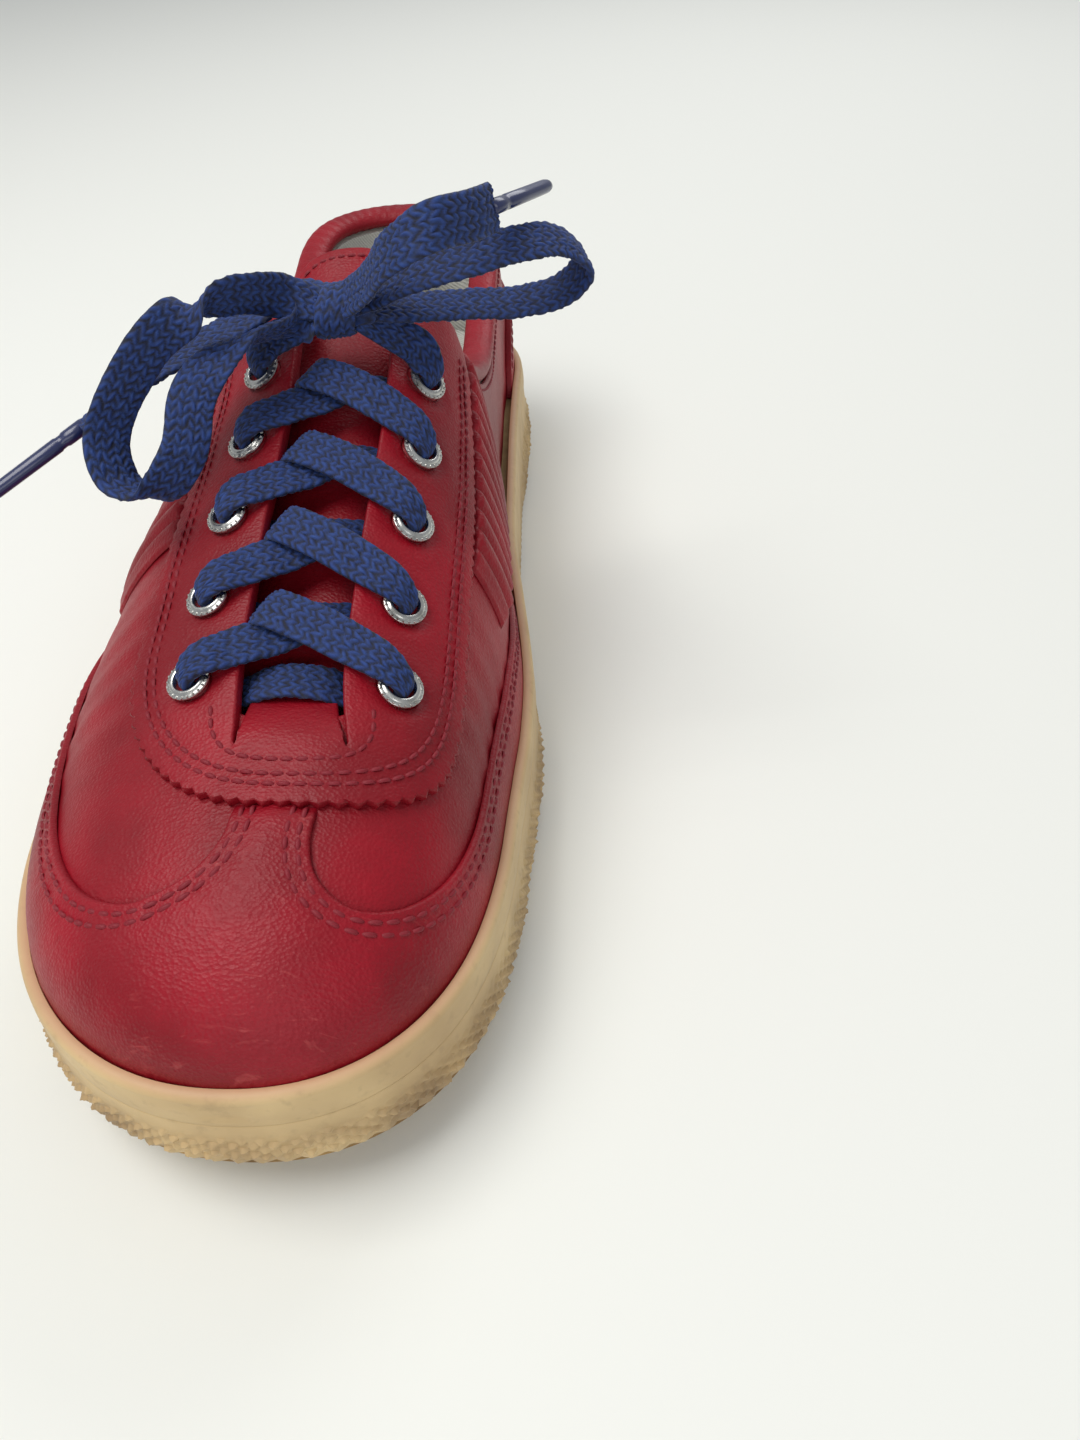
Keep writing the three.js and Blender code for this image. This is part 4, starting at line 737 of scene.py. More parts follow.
def panel(name, chart, outline, inner, outer, look, holes=(), gap=2.0, edge=0.45, rim_gap=1.1, shape=None):
    """A piece cut flat and wrapped round the last between two lifts, with softened edges.
    shape(u, v, d) is added to the outer lift; d is the distance to the nearest cut edge."""
    loops = [fill(outline, rim_gap)] + [fill(h, 0.7) for h in holes]
    rims = np.vstack(loops)
    low, high = rims.min(0), rims.max(0)
    us = np.arange(low[0] + gap / 2, high[0], gap)
    vs = np.arange(low[1] + gap / 2, high[1], gap * 0.87)
    grid = np.array([(u + (gap / 2 if k % 2 else 0), v) for k, v in enumerate(vs) for u in us])
    distance = np.minimum.reduce([away(grid, loop, True) for loop in loops])
    grid = grid[distance > gap * 0.42]
    extra = []
    for loop in loops:
        for inset in (edge * 0.45, edge * 1.2):
            for sign in (1, -1):
                ahead_, behind_ = np.roll(loop, -1, 0), np.roll(loop, 1, 0)
                run = ahead_ - behind_
                run /= np.maximum(np.linalg.norm(run, axis=1, keepdims=True), 1e-9)
                extra.append(loop + sign * np.stack([-run[:, 1], run[:, 0]], -1) * inset)
    extra = np.vstack(extra)
    spread = np.minimum.reduce([away(extra, loop, True) for loop in loops])
    grid = np.vstack([grid, extra[spread > edge * 0.4]])
    edges, start = [], 0
    for loop in loops:
        n = len(loop)
        edges += [(start + k, start + (k + 1) % n) for k in range(n)]
        start += n
    flat, _, faces, *_ = geometry.delaunay_2d_cdt(
        [Vector(p) for p in np.vstack([rims, grid])], edges, [], 2, 1e-4)
    flat = np.array([tuple(p) for p in flat])
    faces = [tuple(f) for f in faces]
    used = np.unique(np.array([i for f in faces for i in f]))
    index = -np.ones(len(flat), int)
    index[used] = np.arange(len(used))
    flat = flat[used]
    faces = [tuple(index[i] for i in f) for f in faces]
    u, v = flat[:, 0], flat[:, 1]
    d = np.minimum.reduce([away(flat, loop, True) for loop in loops])
    soft = edge * (1 - np.sqrt(1 - (1 - np.clip(d / edge, 0, 1)) ** 2))
    value = lambda f: f(u, v) if callable(f) else np.full(len(u), float(f))
    top_lift = value(outer) - soft
    if shape is not None:
        top_lift = top_lift + shape(u, v, d)
    top, _ = spot(chart, flat, top_lift)
    under, _ = spot(chart, flat, value(inner) + 0.25 * soft)
    count = len(flat)
    pairs = {}
    for f in faces:
        for a, b in zip(f, f[1:] + f[:1]):
            pairs[(a, b)] = True
    walls = [(b, a, a + count, b + count) for a, b in pairs if (b, a) not in pairs]
    back = [tuple(i + count for i in reversed(f)) for f in faces]
    return make(name, np.vstack([top, under]), faces + back + walls, look, 50,
                {"edge": np.concatenate([d, d])})


def stitches(name, chart, lines, lift, look, pitch=2.5, long=2.3, thick=0.36, body="shoe"):
    """Rows of stitches along flat lines: each one lies in the leather and dips in at both ends."""
    ring_sides, rings_along = 6, 5
    shares = np.linspace(-1, 1, rings_along)
    points, faces, start = [], [], 0
    for line in lines:
        places = even(np.asarray(line, float), pitch)
        centre = (places[1:] + places[:-1]) / 2
        run = places[1:] - places[:-1]
        run /= np.linalg.norm(run, axis=1, keepdims=True)
        height = lift(centre[:, 0], centre[:, 1]) if callable(lift) else np.full(len(centre), lift)
        rows = []
        for s in shares:
            at, normal = spot(chart, centre + run * s * long / 2, height + 0.4 * thick
                    - 1.1 * thick * s ** 4)
            rows.append((at, normal))
        way = rows[-1][0] - rows[0][0]
        way /= np.maximum(np.linalg.norm(way, axis=1, keepdims=True), 1e-9)
        loop = []
        for s, (at, normal) in zip(shares, rows):
            across = np.cross(way, normal)
            size = thick * (1 - 0.35 * s * s)
            for k in range(ring_sides):
                angle = 2 * math.pi * k / ring_sides
                loop.append(at + across * (size * math.cos(angle))
                        + normal * (size * 0.8 * math.sin(angle)))
        block = np.stack(loop, 1)
        n = block.shape[1]
        points.append(block.reshape(-1, 3))
        for j in range(len(block)):
            base = start + j * n
            for r in range(rings_along - 1):
                for k in range(ring_sides):
                    a, b = base + r * ring_sides + k, base + r * ring_sides + (k + 1) % ring_sides
                    faces.append((a, b, b + ring_sides, a + ring_sides))
            faces.append(tuple(base + k for k in reversed(range(ring_sides))))
            faces.append(tuple(base + n - ring_sides + k for k in range(ring_sides)))
        start += len(block) * n
    thing = make(name, np.vstack(points), faces, look, 60)
    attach(thing, body)
    return thing


def worn_by(thing, body, slot, *replaced):
    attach(thing, body)
    if replaced:
        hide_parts(*replaced)
    return thing


red_thread = Look("red_thread", (128, 9, 30), 0.6)
red_thread.bump(red_thread.noise(2600, 1, (1, 4, 1)), 0.2, 0.0002)

TOPLINE = through([(0, 68), (0.06, 67), (0.15, 61.5), (0.25, 56), (0.32, 57), (0.4, 65), (0.45, 75)])
COLLAR_FRONT = 114
COLLAR_SWELL = 4.6


def height_at(a, z, side):
    """Girth up from the lower edge at which the wall reaches the level z."""
    a, z = np.broadcast_arrays(np.asarray(a, float), np.asarray(z, float))
    station, flag = station_of(a), np.full(a.shape, side)
    low, high = np.zeros(a.shape), np.full(a.shape, LEVELS + 0.0)
    for _ in range(24):
        level = (low + high) / 2
        over_it = last_at(station, level, flag)[..., 2] > z
        low, high = np.where(over_it, level, low), np.where(over_it, high, level)
    return girth_to(station, LEVELS + 0.0, flag) - girth_to(station, low, flag)


def edge_height(a, side, below=2.3):
    return height_at(a, TOPLINE(a) - below, side)


def topline_places(start, end, count):
    return station_at(np.linspace(station_of(start), station_of(end), count + 1))


def circle(centre, radius, sides=28):
    angle = np.linspace(0, 2 * np.pi, sides, endpoint=False)
    return np.asarray(centre) + radius * np.stack([np.cos(angle), np.sin(angle)], -1)


EYELET_ROWS = [209.0 - 17 * i for i in range(5)]
HOLE = 3.4


def eyelet_from(a):
    return 17 - 0.45 * (209 - a) / 17


def to_around(places):
    """Flat places of the crest pattern, in the heel pattern."""
    a = station_at(np.interp(places[:, 0], crest_run, all_stations))
    side = 1 if places[0, 1] > 0 else -1
    return from_crest(a, np.abs(places[:, 1]), side)


THROAT, THROAT_FRONT, FACING_BACK = 8.5, 215.0, 122.0
edge_stations = np.linspace(0, STATIONS, 89)


def quarter_outline(side):
    tops = topline_places(0.3, COLLAR_FRONT, 40)
    flap = [(COLLAR_FRONT + 3, 29), (COLLAR_FRONT + 6, 23), (FACING_BACK, 16),
            (FACING_BACK + 1.5, THROAT + 0.4)]
    lobe = [(THROAT_FRONT + 3, 3), (240, 3), (247.5, 0.2 * whole_girth(247.5, side)),
            (249.5, 0.5 * whole_girth(249.5, side))]
    back = edge_stations[(edge_stations > 6) & (edge_stations < station_of(249.5))][::-1]
    throat = np.linspace(FACING_BACK + 8, THROAT_FRONT, 9)
    return np.vstack([
        [(side * 0.3, 0), (side * 0.3, edge_height(0.02, side))],
        Around.flat(tops, edge_height(tops, side), side),
        [from_crest(a, q, side) for a, q in flap],
        from_crest(throat, THROAT + 0.4, side),
        [from_crest(a, q, side) for a, q in lobe],
        Around.flat(station_at(back), 0, side)])


def quarter_folds(u, v, d):
    """Soft creases where the forefoot bends, and a slight swell between the seams."""
    side = np.where(u < 0, -1, 1)
    station = by_side(lambda s: np.interp(np.abs(u), feather_run[s], all_stations), side)
    a = station_at(station)
    bend = np.exp(-((a - 196) / 20) ** 2)
    wave = np.sin((a + 0.35 * v + 2 * np.sin(v * 0.11)) * 0.8)
    return 0.22 * bend * wave * np.clip(d / 6, 0, 1) + 0.1 * np.sin(a * 0.21 + v * 0.13)


for name, side in (("quarter_medial", 1), ("quarter_lateral", -1)):
    holes = [to_around(circle(Over.flat(a, side * eyelet_from(a)), HOLE)) for a in EYELET_ROWS]
    piece = panel(name + "_leather", Around, quarter_outline(side), QUARTER_IN, QUARTER_OUT, leather, holes,
                  gap=2.3, shape=quarter_folds)
    worn_by(piece, "shoe", "leather", name)

# ---------------------------------------------------------------------------
# Toe piece
# ---------------------------------------------------------------------------
# The crimson toe leather lies over the two side lobes, its edge folded under and
# held by two rows of stitches, with a short tab back to the lace facing.
SEAM = [(228, 0.13), (238, 0.14), (243.5, 0.22), (246.5, 0.38), (245, 0.52), (239.5, 0.63), (228, 0.71),
        (212, 0.745),
        (192, 0.76), (170, 0.8), (150, 0.88), (136, 0.98)]
TOE_LIFT = 0.2


def seam_line(side):
    a = np.array([s[0] for s in SEAM], float)
    share = np.array([s[1] for s in SEAM])
    return spline(Over.flat(a, side * share * whole_girth(a, side)), 1.2)


def toe_edge(side, start):
    stations = np.concatenate([[station_of(start)], edge_stations[edge_stations > station_of(start) + 0.5]])
    return Over.flat(station_at(stations), side * girth_to(stations, LEVELS + 0.0, side))


seams = {side: seam_line(side) for side in (1, -1)}
NOSE = 229.0
tab = {side: [Over.flat(NOSE, side * 0.14 * whole_girth(NOSE, side))] for side in (1, -1)}
first = {side: int(np.argmax(seams[side][:, 0] > tab[1][0][0] + 1.5)) for side in (1, -1)}
vamp_outline = np.vstack([
    tab[-1], tab[1], seams[1][first[1]:], toe_edge(1, 134)[:-1], [Over.flat(LAST, 0)],
    toe_edge(-1, 134)[:-1][::-1], seams[-1][first[-1]:][::-1]])


def toe_shape(u, v, d):
    """The edge is thinned and folded, the needle rows draw the leather in, and the toe has fine creases."""
    places = np.stack([u, v], -1)
    near = np.minimum(away(places, seams[1][first[1]:]), away(places, seams[-1][first[-1]:]))
    fold = 0.1 * np.exp(-((near - 0.6) / 0.5) ** 2) - 0.25 * np.exp(-((near
            - 1.7) / 0.5) ** 2) - 0.8 * np.exp(-((near / 6) ** 2))
    fold += 0.15 * np.exp(-((near - 2.6) / 0.5) ** 2) - 0.25 * np.exp(-((near - 3.5) / 0.5) ** 2)
    a = station_at(np.interp(u, crest_run, all_stations))
    crease = np.sin(u * 1.9 + 1.2 * np.sin(v * 0.23) + 0.8 * np.sin(u * 0.37 + v * 0.31))
    crease *= 0.05 * smooth(236, 246, a) * np.clip((near - 4) / 4, 0, 1) * (0.5
            + 0.5 * np.sin(v * 0.19 + u * 0.07))
    return fold + crease + 0.15 * np.sin(v * 0.12 + 1) * smooth(240, 256, a)



TUCK, TAB_HALF = 1.9, 20


def tucked(lift):
    """The lift of the toe piece, whose tab dips under the lace facing."""
    def value(u, v):
        a = station_at(np.interp(u, crest_run, all_stations))
        return lift - TUCK * (1 - smooth(230.5, 235, a)) * (np.abs(v) < TAB_HALF)
    return value


toe = panel("toe_piece", Over, vamp_outline, tucked(UNDER_EDGE), tucked(OVERLAY_OUT + TOE_LIFT),
        toe_leather,
            gap=1.9, edge=0.5, rim_gap=1.0, shape=toe_shape)
worn_by(toe, "shoe", "leather", "toe_vamp")
rows = []
for side in (1, -1):
    line = seams[side][first[side] + 1:-3]
    rows += [beside(line, -side * 1.7), beside(line, -side * 3.5)]
stitches("toe_stitching", Over, rows,
         lambda u, v: tucked(OVERLAY_OUT + TOE_LIFT)(u, v) + toe_shape(u, v,
                 0) + 0.1, red_thread, pitch=2.7, long=2.5, thick=0.42)

vamp_lining_outline = np.vstack([
    toe_edge(1, 168)[:-1], [Over.flat(LAST, 0)], toe_edge(-1, 168)[:-1][::-1],
    Over.flat(np.linspace(168, THROAT_FRONT, 5), -28), [Over.flat(THROAT_FRONT + 12, -16)],
    [Over.flat(THROAT_FRONT + 12, 16)], Over.flat(np.linspace(THROAT_FRONT, 168, 5), 28)])
piece = panel("vamp_lining_cloth", Over, vamp_lining_outline, 0, 0.6, lining, gap=4, edge=0.25, rim_gap=2.5)
worn_by(piece, "shoe", "textile", "vamp_lining")

# ---------------------------------------------------------------------------
# Ribbed side panels
# ---------------------------------------------------------------------------
# Padded ridges run down each side behind the lace facing: leather drawn down over
# foam cords and cemented to the quarter.
RIBS, RIB_BACK, RIB_FRONT, RIB_TOP = 11, 116.0, 172.1, 31.6
for name, side in (("ribbed_panel_medial", 1), ("ribbed_panel_lateral", -1)):
    places = np.linspace(RIB_BACK, RIB_FRONT, 15)
    share = mix(0.76, 0.7, (places - RIB_BACK) / (RIB_FRONT - RIB_BACK))
    outline = np.vstack([Over.flat(places, side * RIB_TOP),
                         Over.flat(places, side * share * whole_girth(places, side))[::-1]])
    start, end = Over.flat(RIB_BACK, 0)[0], Over.flat(RIB_FRONT, 0)[0]

    def ribs(u, v, start=start, end=end):
        wave = np.abs(np.sin(np.pi * RIBS * (u - start) / (end - start)))
        taper = smooth(0, 5, u - start) * smooth(0, 7, end - u)
        return OVERLAY_IN + 0.35 + 1.8 * wave ** 0.55 * taper

    piece = panel(name + "_leather", Over, outline, UNDER_EDGE, ribs, leather, gap=0.75, edge=0.8)
    worn_by(piece, "shoe", "leather", name)

# ---------------------------------------------------------------------------
# Lace facing
# ---------------------------------------------------------------------------
# One U-shaped leather piece round the throat, its outer edge pinked in a zigzag,
# sewn down with two rows of stitches and pierced for ten eyelets.
FACING_HALF, PINK_PITCH, PINK_DEPTH = 30.0, 2.8, 0.9


def facing_nose(side, half=FACING_HALF, front=232.0):
    t = np.linspace(0, np.pi / 2, 40)
    return Over.flat(196 + (front - 196) * np.sin(t) ** 0.8, side * half * np.cos(t) ** 0.8)


def facing_edge(half=FACING_HALF, front=232.0, back=FACING_BACK + 3):
    run = np.linspace(FACING_BACK + 12, 188, 7)
    return np.vstack([
        [Over.flat(back, half)], Over.flat(run, half), facing_nose(1, half, front),
        facing_nose(-1, half, front)[::-1][1:], Over.flat(run[::-1], -half), [Over.flat(back, -half)]])


edge_line = even(facing_edge(), 0.1)
teeth = round(length_along(edge_line, 0)[-1] / PINK_PITCH)
zigzag = even(edge_line, length_along(edge_line, 0)[-1] / (2 * teeth))
zigzag = zigzag + (np.arange(len(zigzag)) % 2)[:, None] * (beside(zigzag, PINK_DEPTH) - zigzag)


def flap_corner(side):
    return np.array([Over.flat(FACING_BACK - 1, side * (FACING_HALF - 2)),
            Over.flat(FACING_BACK - 3, side * (FACING_HALF - 6)),
                     Over.flat(FACING_BACK - 1.5, side * (FACING_HALF - 13)), Over.flat(FACING_BACK,
                             side * THROAT)])


throat_run = np.linspace(FACING_BACK + 10, THROAT_FRONT - 4, 9)
SLIT_END, FLAP_END = 221.5, 206.0


def slit(side):
    """From the throat's edge round the end of the slit beside the tongue's base."""
    return np.array([Over.flat(a, side * q) for a, q in (
        (THROAT_FRONT, THROAT + 0.1), (SLIT_END - 0.5, THROAT + 0.55), (SLIT_END, THROAT + 0.35), (SLIT_END
                - 0.7, THROAT + 0.1),
        (THROAT_FRONT + 1, THROAT - 0.6), (FLAP_END + 2, THROAT - 1.2), (FLAP_END, THROAT - 3))])


def base_drop(u, v):
    """The tongue's base slopes down under the first bar of the lace."""
    a = station_at(np.interp(u, crest_run, all_stations))
    return -6.2 * (1 - smooth(FLAP_END - 1, SLIT_END, a)) * (np.abs(v) < THROAT - 0.2)
facing_outline = np.vstack([
    zigzag, flap_corner(-1), Over.flat(throat_run, -THROAT), slit(-1), slit(1)[::-1],
    Over.flat(throat_run[::-1], THROAT), flap_corner(1)[::-1]])
facing_holes = [circle(Over.flat(a, side * eyelet_from(a)), HOLE) for a in EYELET_ROWS for side in (1, -1)]


def facing_shape(u, v, d):
    """The leather dips at each eyelet and each needle row."""
    places = np.stack([u, v], -1)
    lift = 0.08 * np.sin(u * 0.35) * np.sin(v * 0.3) + base_drop(u, v)
    for hole in facing_holes:
        r = np.linalg.norm(places - hole.mean(0), axis=1)
        lift = lift - 0.3 * np.exp(-((r - 3.6) / 1.6) ** 2) + 0.18 * np.exp(-((r - 6.3) / 1.2) ** 2)
    for inset in (2.8, 4.6):
        lift = lift - 0.12 * np.exp(-((np.abs(away(places, facing_rows[inset])) / 0.4) ** 2))
    return lift


facing_rows = {inset: even(facing_edge(FACING_HALF - inset, 232 - inset), 1.0) for inset in (2.8, 4.6)}
facing = panel("facing_leather", Over, facing_outline, lambda u, v: UNDER_EDGE + base_drop(u, v),
        OVERLAY_OUT, leather,
               facing_holes, gap=1.6, edge=0.4, rim_gap=1.0, shape=facing_shape)
worn_by(facing, "shoe", "leather", "lace_facing")
base_row = spline([Over.flat(a, q) for a, q in (
    (214, -13), (219.5, -12.5), (223.2, -9.5), (224.6, -4), (224.6, 4), (223.2, 9.5), (219.5, 12.5), (214,
            13))], 0.8)
stitches("facing_stitching", Over, list(facing_rows.values()) + [base_row], OVERLAY_OUT, red_thread,
         pitch=2.5, long=2.3, thick=0.38)

# ---------------------------------------------------------------------------
# Heel overlay and tab
# ---------------------------------------------------------------------------
# A curved leather piece covers the heel seam low down, with a small tab above it
# that carries the seam to the collar.
overlay_top = spline([(53, 9), (42, 19), (26, 26), (0, 30), (-26, 26), (-42, 19), (-53, 9)], 1.5)
heel = panel("heel_overlay_leather", Around, np.vstack([[(-56, 0.1), (56, 0.1)], overlay_top]),
             UNDER_EDGE, OVERLAY_OUT, leather, gap=2.2)
worn_by(heel, "shoe", "leather", "heel_overlay")
tab_top = float(edge_height(1, 1)) - 2
tab_outline = [(-9, 31), (9, 31), (13, 35), (13, tab_top), (-13, tab_top), (-13, 35)]
piece = panel("heel_tab_leather", Around, tab_outline, UNDER_EDGE, OVERLAY_OUT, leather, gap=2)
worn_by(piece, "shoe", "leather", "heel_tab")
tab_row = [(-11, tab_top), (-11, 35.5), (-8.2, 32.8), (8.2, 32.8), (11, 35.5), (11, tab_top)]
stitches("heel_stitching", Around, [beside(overlay_top, 1.8), beside(overlay_top, 3.4), tab_row],
         OVERLAY_OUT - 0.05, red_thread)

# ---------------------------------------------------------------------------
# Collar: rolled edge, foam and lining
# ---------------------------------------------------------------------------
# The topline is bound with rolled crimson leather over soft foam, and the grey
# cloth lining swells into the shoe over that foam.
def place_of(u, v):
    side = np.where(u < 0, -1, 1)
    station = by_side(lambda s: np.interp(np.abs(u), feather_run[s], all_stations), side)
    return station_at(station), side


def lining_push(u, v):
    a, side = place_of(u, v)
    bottom = by_side(lambda s: edge_height(a, s), side) - 20
    pad = smooth(bottom - 7, bottom + 1, v) * (1 - smooth(COLLAR_FRONT - 14, COLLAR_FRONT - 2, a))
    stiff = 1 - smooth(61, 74, np.abs(u))
    return np.maximum(COLLAR_SWELL * pad, 1.55 * stiff)


def lining_half(side):
    tops = topline_places(0, COLLAR_FRONT, 40)
    low = np.linspace(167.6, 2, 30)
    return np.vstack([
        Around.flat(tops, edge_height(tops, side), side), [from_crest(COLLAR_FRONT + 3, 29, side)],
        from_crest(np.linspace(FACING_BACK + 4, 167.6, 5), 28, side), Around.flat(low, 0.1, side)])


outline = np.vstack([lining_half(1)[::-1][:-1], lining_half(-1)])
piece = panel("collar_lining_cloth", Around, outline, lambda u, v: -lining_push(u, v),
              lambda u, v: 0.45 - lining_push(u, v), lining, gap=2.6, edge=0.2, rim_gap=1.6)
worn_by(piece, "shoe", "textile", "quarter_lining")


def pad_edge(side, drop):
    places = topline_places(0, COLLAR_FRONT - 24, 30)
    return Around.flat(places, edge_height(places, side) - drop, side)


outline = np.vstack([pad_edge(-1, 0.5)[::-1], pad_edge(1, 0.5)[1:], pad_edge(1, 14)[::-1],
        pad_edge(-1, 14)[1:]])
sponge = Look("collar_sponge", (228, 224, 212), 0.95)
sponge.bump(sponge.cells(1200), 0.4, 0.0004)
pad = panel("collar_pad", Around, outline, lambda u, v: 1.2 - lining_push(u, v), lambda u, v: 0 * u + 0.5,
            sponge, gap=3, edge=0.2, rim_gap=2)
worn_by(pad, "shoe", "foam", "collar_foam")

BINDING_SIDES = 22
binding_points = []
for side in (1, -1):
    a = topline_places(COLLAR_FRONT - 1.5, 0, 150)
    station, flag = station_of(a), np.full(a.shape, side)
    girth = girth_to(station, LEVELS + 0.0, flag) - height_at(a, TOPLINE(a) + 0.4, side)
    swell = COLLAR_SWELL * (1 - smooth(COLLAR_FRONT - 14, COLLAR_FRONT - 2, a))
    at, normal = outside(station, level_at(station, girth, flag), flag, (QUARTER_OUT - swell) / 2)
    half = (swell + QUARTER_OUT) / 2 + 0.45
    rows_ = list(zip(at, normal, half))
    binding_points += rows_[:-1] if side > 0 else rows_[:-1][::-1]
at = np.array([p[0] for p in binding_points])
out = np.array([p[1] for p in binding_points])
half = np.array([p[2] for p in binding_points])
run = np.gradient(at, axis=0)
run /= np.linalg.norm(run, axis=1, keepdims=True)
out -= run * np.einsum("ij,ij->i", out, run)[:, None]
out /= np.linalg.norm(out, axis=1, keepdims=True)
rise = np.cross(run, out)
rise *= np.sign(rise[:, 2])[:, None]
angles = np.linspace(0, 2 * np.pi, BINDING_SIDES, endpoint=False)
pucker = 1 + 0.035 * np.sin(np.arange(len(at)) * 1.15)
loops = [at + out * (half * np.sign(np.cos(t)) * abs(np.cos(t)) ** 0.8)[:, None]
         + rise * (2.35 * pucker * np.sin(t))[:, None] for t in angles]
block = np.stack(loops, 1)
n = len(at)
faces = [(r * BINDING_SIDES + k, r * BINDING_SIDES + (k + 1) % BINDING_SIDES,
          (r + 1) * BINDING_SIDES + (k + 1) % BINDING_SIDES, (r + 1) * BINDING_SIDES + k)
         for r in range(n - 1) for k in range(BINDING_SIDES)]
faces += [tuple(reversed(range(BINDING_SIDES))),
        tuple((n - 1) * BINDING_SIDES + k for k in range(BINDING_SIDES))]
binding = make("collar_roll", block.reshape(-1, 3), faces, leather, 60,
               {"edge": np.full(n * BINDING_SIDES, 2.0)})
worn_by(binding, "shoe", "leather", "collar_binding")
collar_rows = []
for side in (1, -1):
    places = topline_places(4, COLLAR_FRONT - 4, 60)
    collar_rows.append(Around.flat(places, edge_height(places, side) - 1.6, side))
stitches("collar_stitching", Around, collar_rows, QUARTER_OUT, red_thread)

# ---------------------------------------------------------------------------
# Tongue
# ---------------------------------------------------------------------------
# Crimson leather over thin foam with a cloth back, sewn in under the front of the facing.
def tongue_outline(margin):
    half, back = 25 - margin, 110 + margin
    run = np.linspace(218 - margin / 2, back + 8, 12)
    edge = Over.flat(run, half * mix(0.72, 1, 1 - smooth(150, 218, run)))
    corners = [Over.flat(back + 2, half - 4), Over.flat(back, half - 12)]
    mirror = [1, -1]
    return np.vstack([edge, corners, (np.array(corners) * mirror)[::-1], (edge * mirror)[::-1]])


def tongue_waves(u, v, d):
    a = station_at(np.interp(u, crest_run, all_stations))
    return 0.25 * np.sin(a * 0.37 + np.sin(v * 0.2)) * np.clip(d / 4, 0, 1)


tongue_parts = (
    ("tongue_top", 0, -4.6, -3.6, leather, "leather", "tongue_leather", 0.4),
    ("tongue_pad", 3, -7.5, -5.2, sponge, "foam", "tongue_foam", 0.8),
    ("tongue_back", 0.5, -8.7, -8.1, lining, "textile", "tongue_lining", 0.2))
for name, margin, low, high, look, slot, node, edge in tongue_parts:
    piece = panel(name, Over, tongue_outline(margin), low, high, look, gap=2.2, edge=edge,
                  shape=tongue_waves if name == "tongue_top" else None)
    worn_by(piece, "tongue", slot, node)
hem = tongue_outline(2.2)
stitches("tongue_stitching", Over, [fill(hem[6:-6], 1.0, False)], -3.65, red_thread, body="tongue")

# ---------------------------------------------------------------------------
# Eyelets
# ---------------------------------------------------------------------------
# Ten two-part nickel eyelets are set through the facing, each with a ring of small
# beads round its flange, and rolled over inside.
nickel = Look("nickel", (196, 196, 192), 0.24, 1.0)
nickel.put(nickel.shader, "Roughness", nickel.ramp(nickel.noise(900, 3), 0.3, 0.7, 0.18, 0.36))
nickel.color(nickel.mix(nickel.ramp(nickel.noise(260, 3), 0.5, 0.75), (204, 204, 200), (150, 148, 142)))
SEAT = 4.35 + 0.56
profile = np.array([
    (2.5, -0.3), (3.0, -0.45), (3.3, -0.2), (3.25, 0.05), (2.85, 0.15), (2.8, SEAT - 0.1), (4.15,
            SEAT), (4.25, SEAT + 0.15),
    (4.2, SEAT + 0.4), (4.0, SEAT + 0.56), (3.72, SEAT + 0.6), (3.55, SEAT + 0.72), (3.3, SEAT + 0.94),
    (3.0, SEAT + 1.0), (2.75, SEAT + 0.92), (2.6, SEAT + 0.7), (2.5, SEAT + 0.3), (2.5, SEAT - 1.2)])
SPOKES, BEADS = 48, 22
for side, label in ((1, "medial"), (-1, "lateral")):
    for number, a in enumerate(EYELET_ROWS, 1):
        centre, normal = spot(Over, np.array([Over.flat(a, side * eyelet_from(a))]), 0.0)
        centre, normal = centre[0], normal[0]
        across = np.cross(normal, [0, 1, 0])
        across /= np.linalg.norm(across)
        along = np.cross(normal, across)
        angles = np.linspace(0, 2 * np.pi, SPOKES, endpoint=False)
        points = [centre + normal * z + (across * math.cos(t) + along * math.sin(t)) * r for r,
                z in profile for t in angles]
        faces = band_faces(len(profile), SPOKES, closed_rows=True)
        for bead in range(BEADS):
            t = 2 * math.pi * bead / BEADS
            middle_ = centre + normal * (SEAT + 0.52) + (across * math.cos(t) + along * math.sin(t)) * 3.9
            start = len(points)
            for size, rise_ in ((0.3, -0.1), (0.28, 0.1), (0.16, 0.24)):
                for k in range(6):
                    s = 2 * math.pi * k / 6
                    points.append(middle_ + normal * rise_
                            + (across * math.cos(s) + along * math.sin(s)) * size)
            for r in range(2):
                for k in range(6):
                    p, q = start + r * 6 + k, start + r * 6 + (k + 1) % 6
                    faces.append((p, q, q + 6, p + 6))
            faces += [tuple(start + k for k in reversed(range(6))), tuple(start + 12 + k for k in range(6))]
        eyelet = make(f"nickel_{label}_{number}", points, faces, nickel, 35)
        worn_by(eyelet, "shoe", "nickel", f"eyelet_{label}_{number}")

# ---------------------------------------------------------------------------
# Lace
# ---------------------------------------------------------------------------
# A flat woven blue cotton lace: a bar under the front row, then crossings that come
# up through each eyelet, over the facing's edge and down under the other side.
lace_look = Look("blue_lace", (26, 50, 104), 0.75)
# Painted light: the weave value lightens the raised threads (painted highlight) and darkens the gaps
# between them (painted shade).
weave_shading = lace_look.own("weave_shading")
slub = lace_look.noise(700, 3)
tone = lace_look.mix(lace_look.ramp(weave_shading, 0.1, 1.1), (6, 13, 38), (26, 60, 130))
lace_look.color(lace_look.mix(lace_look.math("MULTIPLY", lace_look.ramp(slub, 0.45, 0.8), 0.28), tone,
        (46, 88, 164)))
lace_look.put(lace_look.shader, "Sheen Weight", 0.08)
lace_look.bump(lace_look.noise(2400, 2), 0.35, 0.0003)
LACE_STEP, ACROSS, LACE_HALF, LACE_THIN = 0.36, 30, 4.2, 0.78
STITCH, COLUMNS = 1.9, 8
LACE_SIDES = 2 * ACROSS - 2


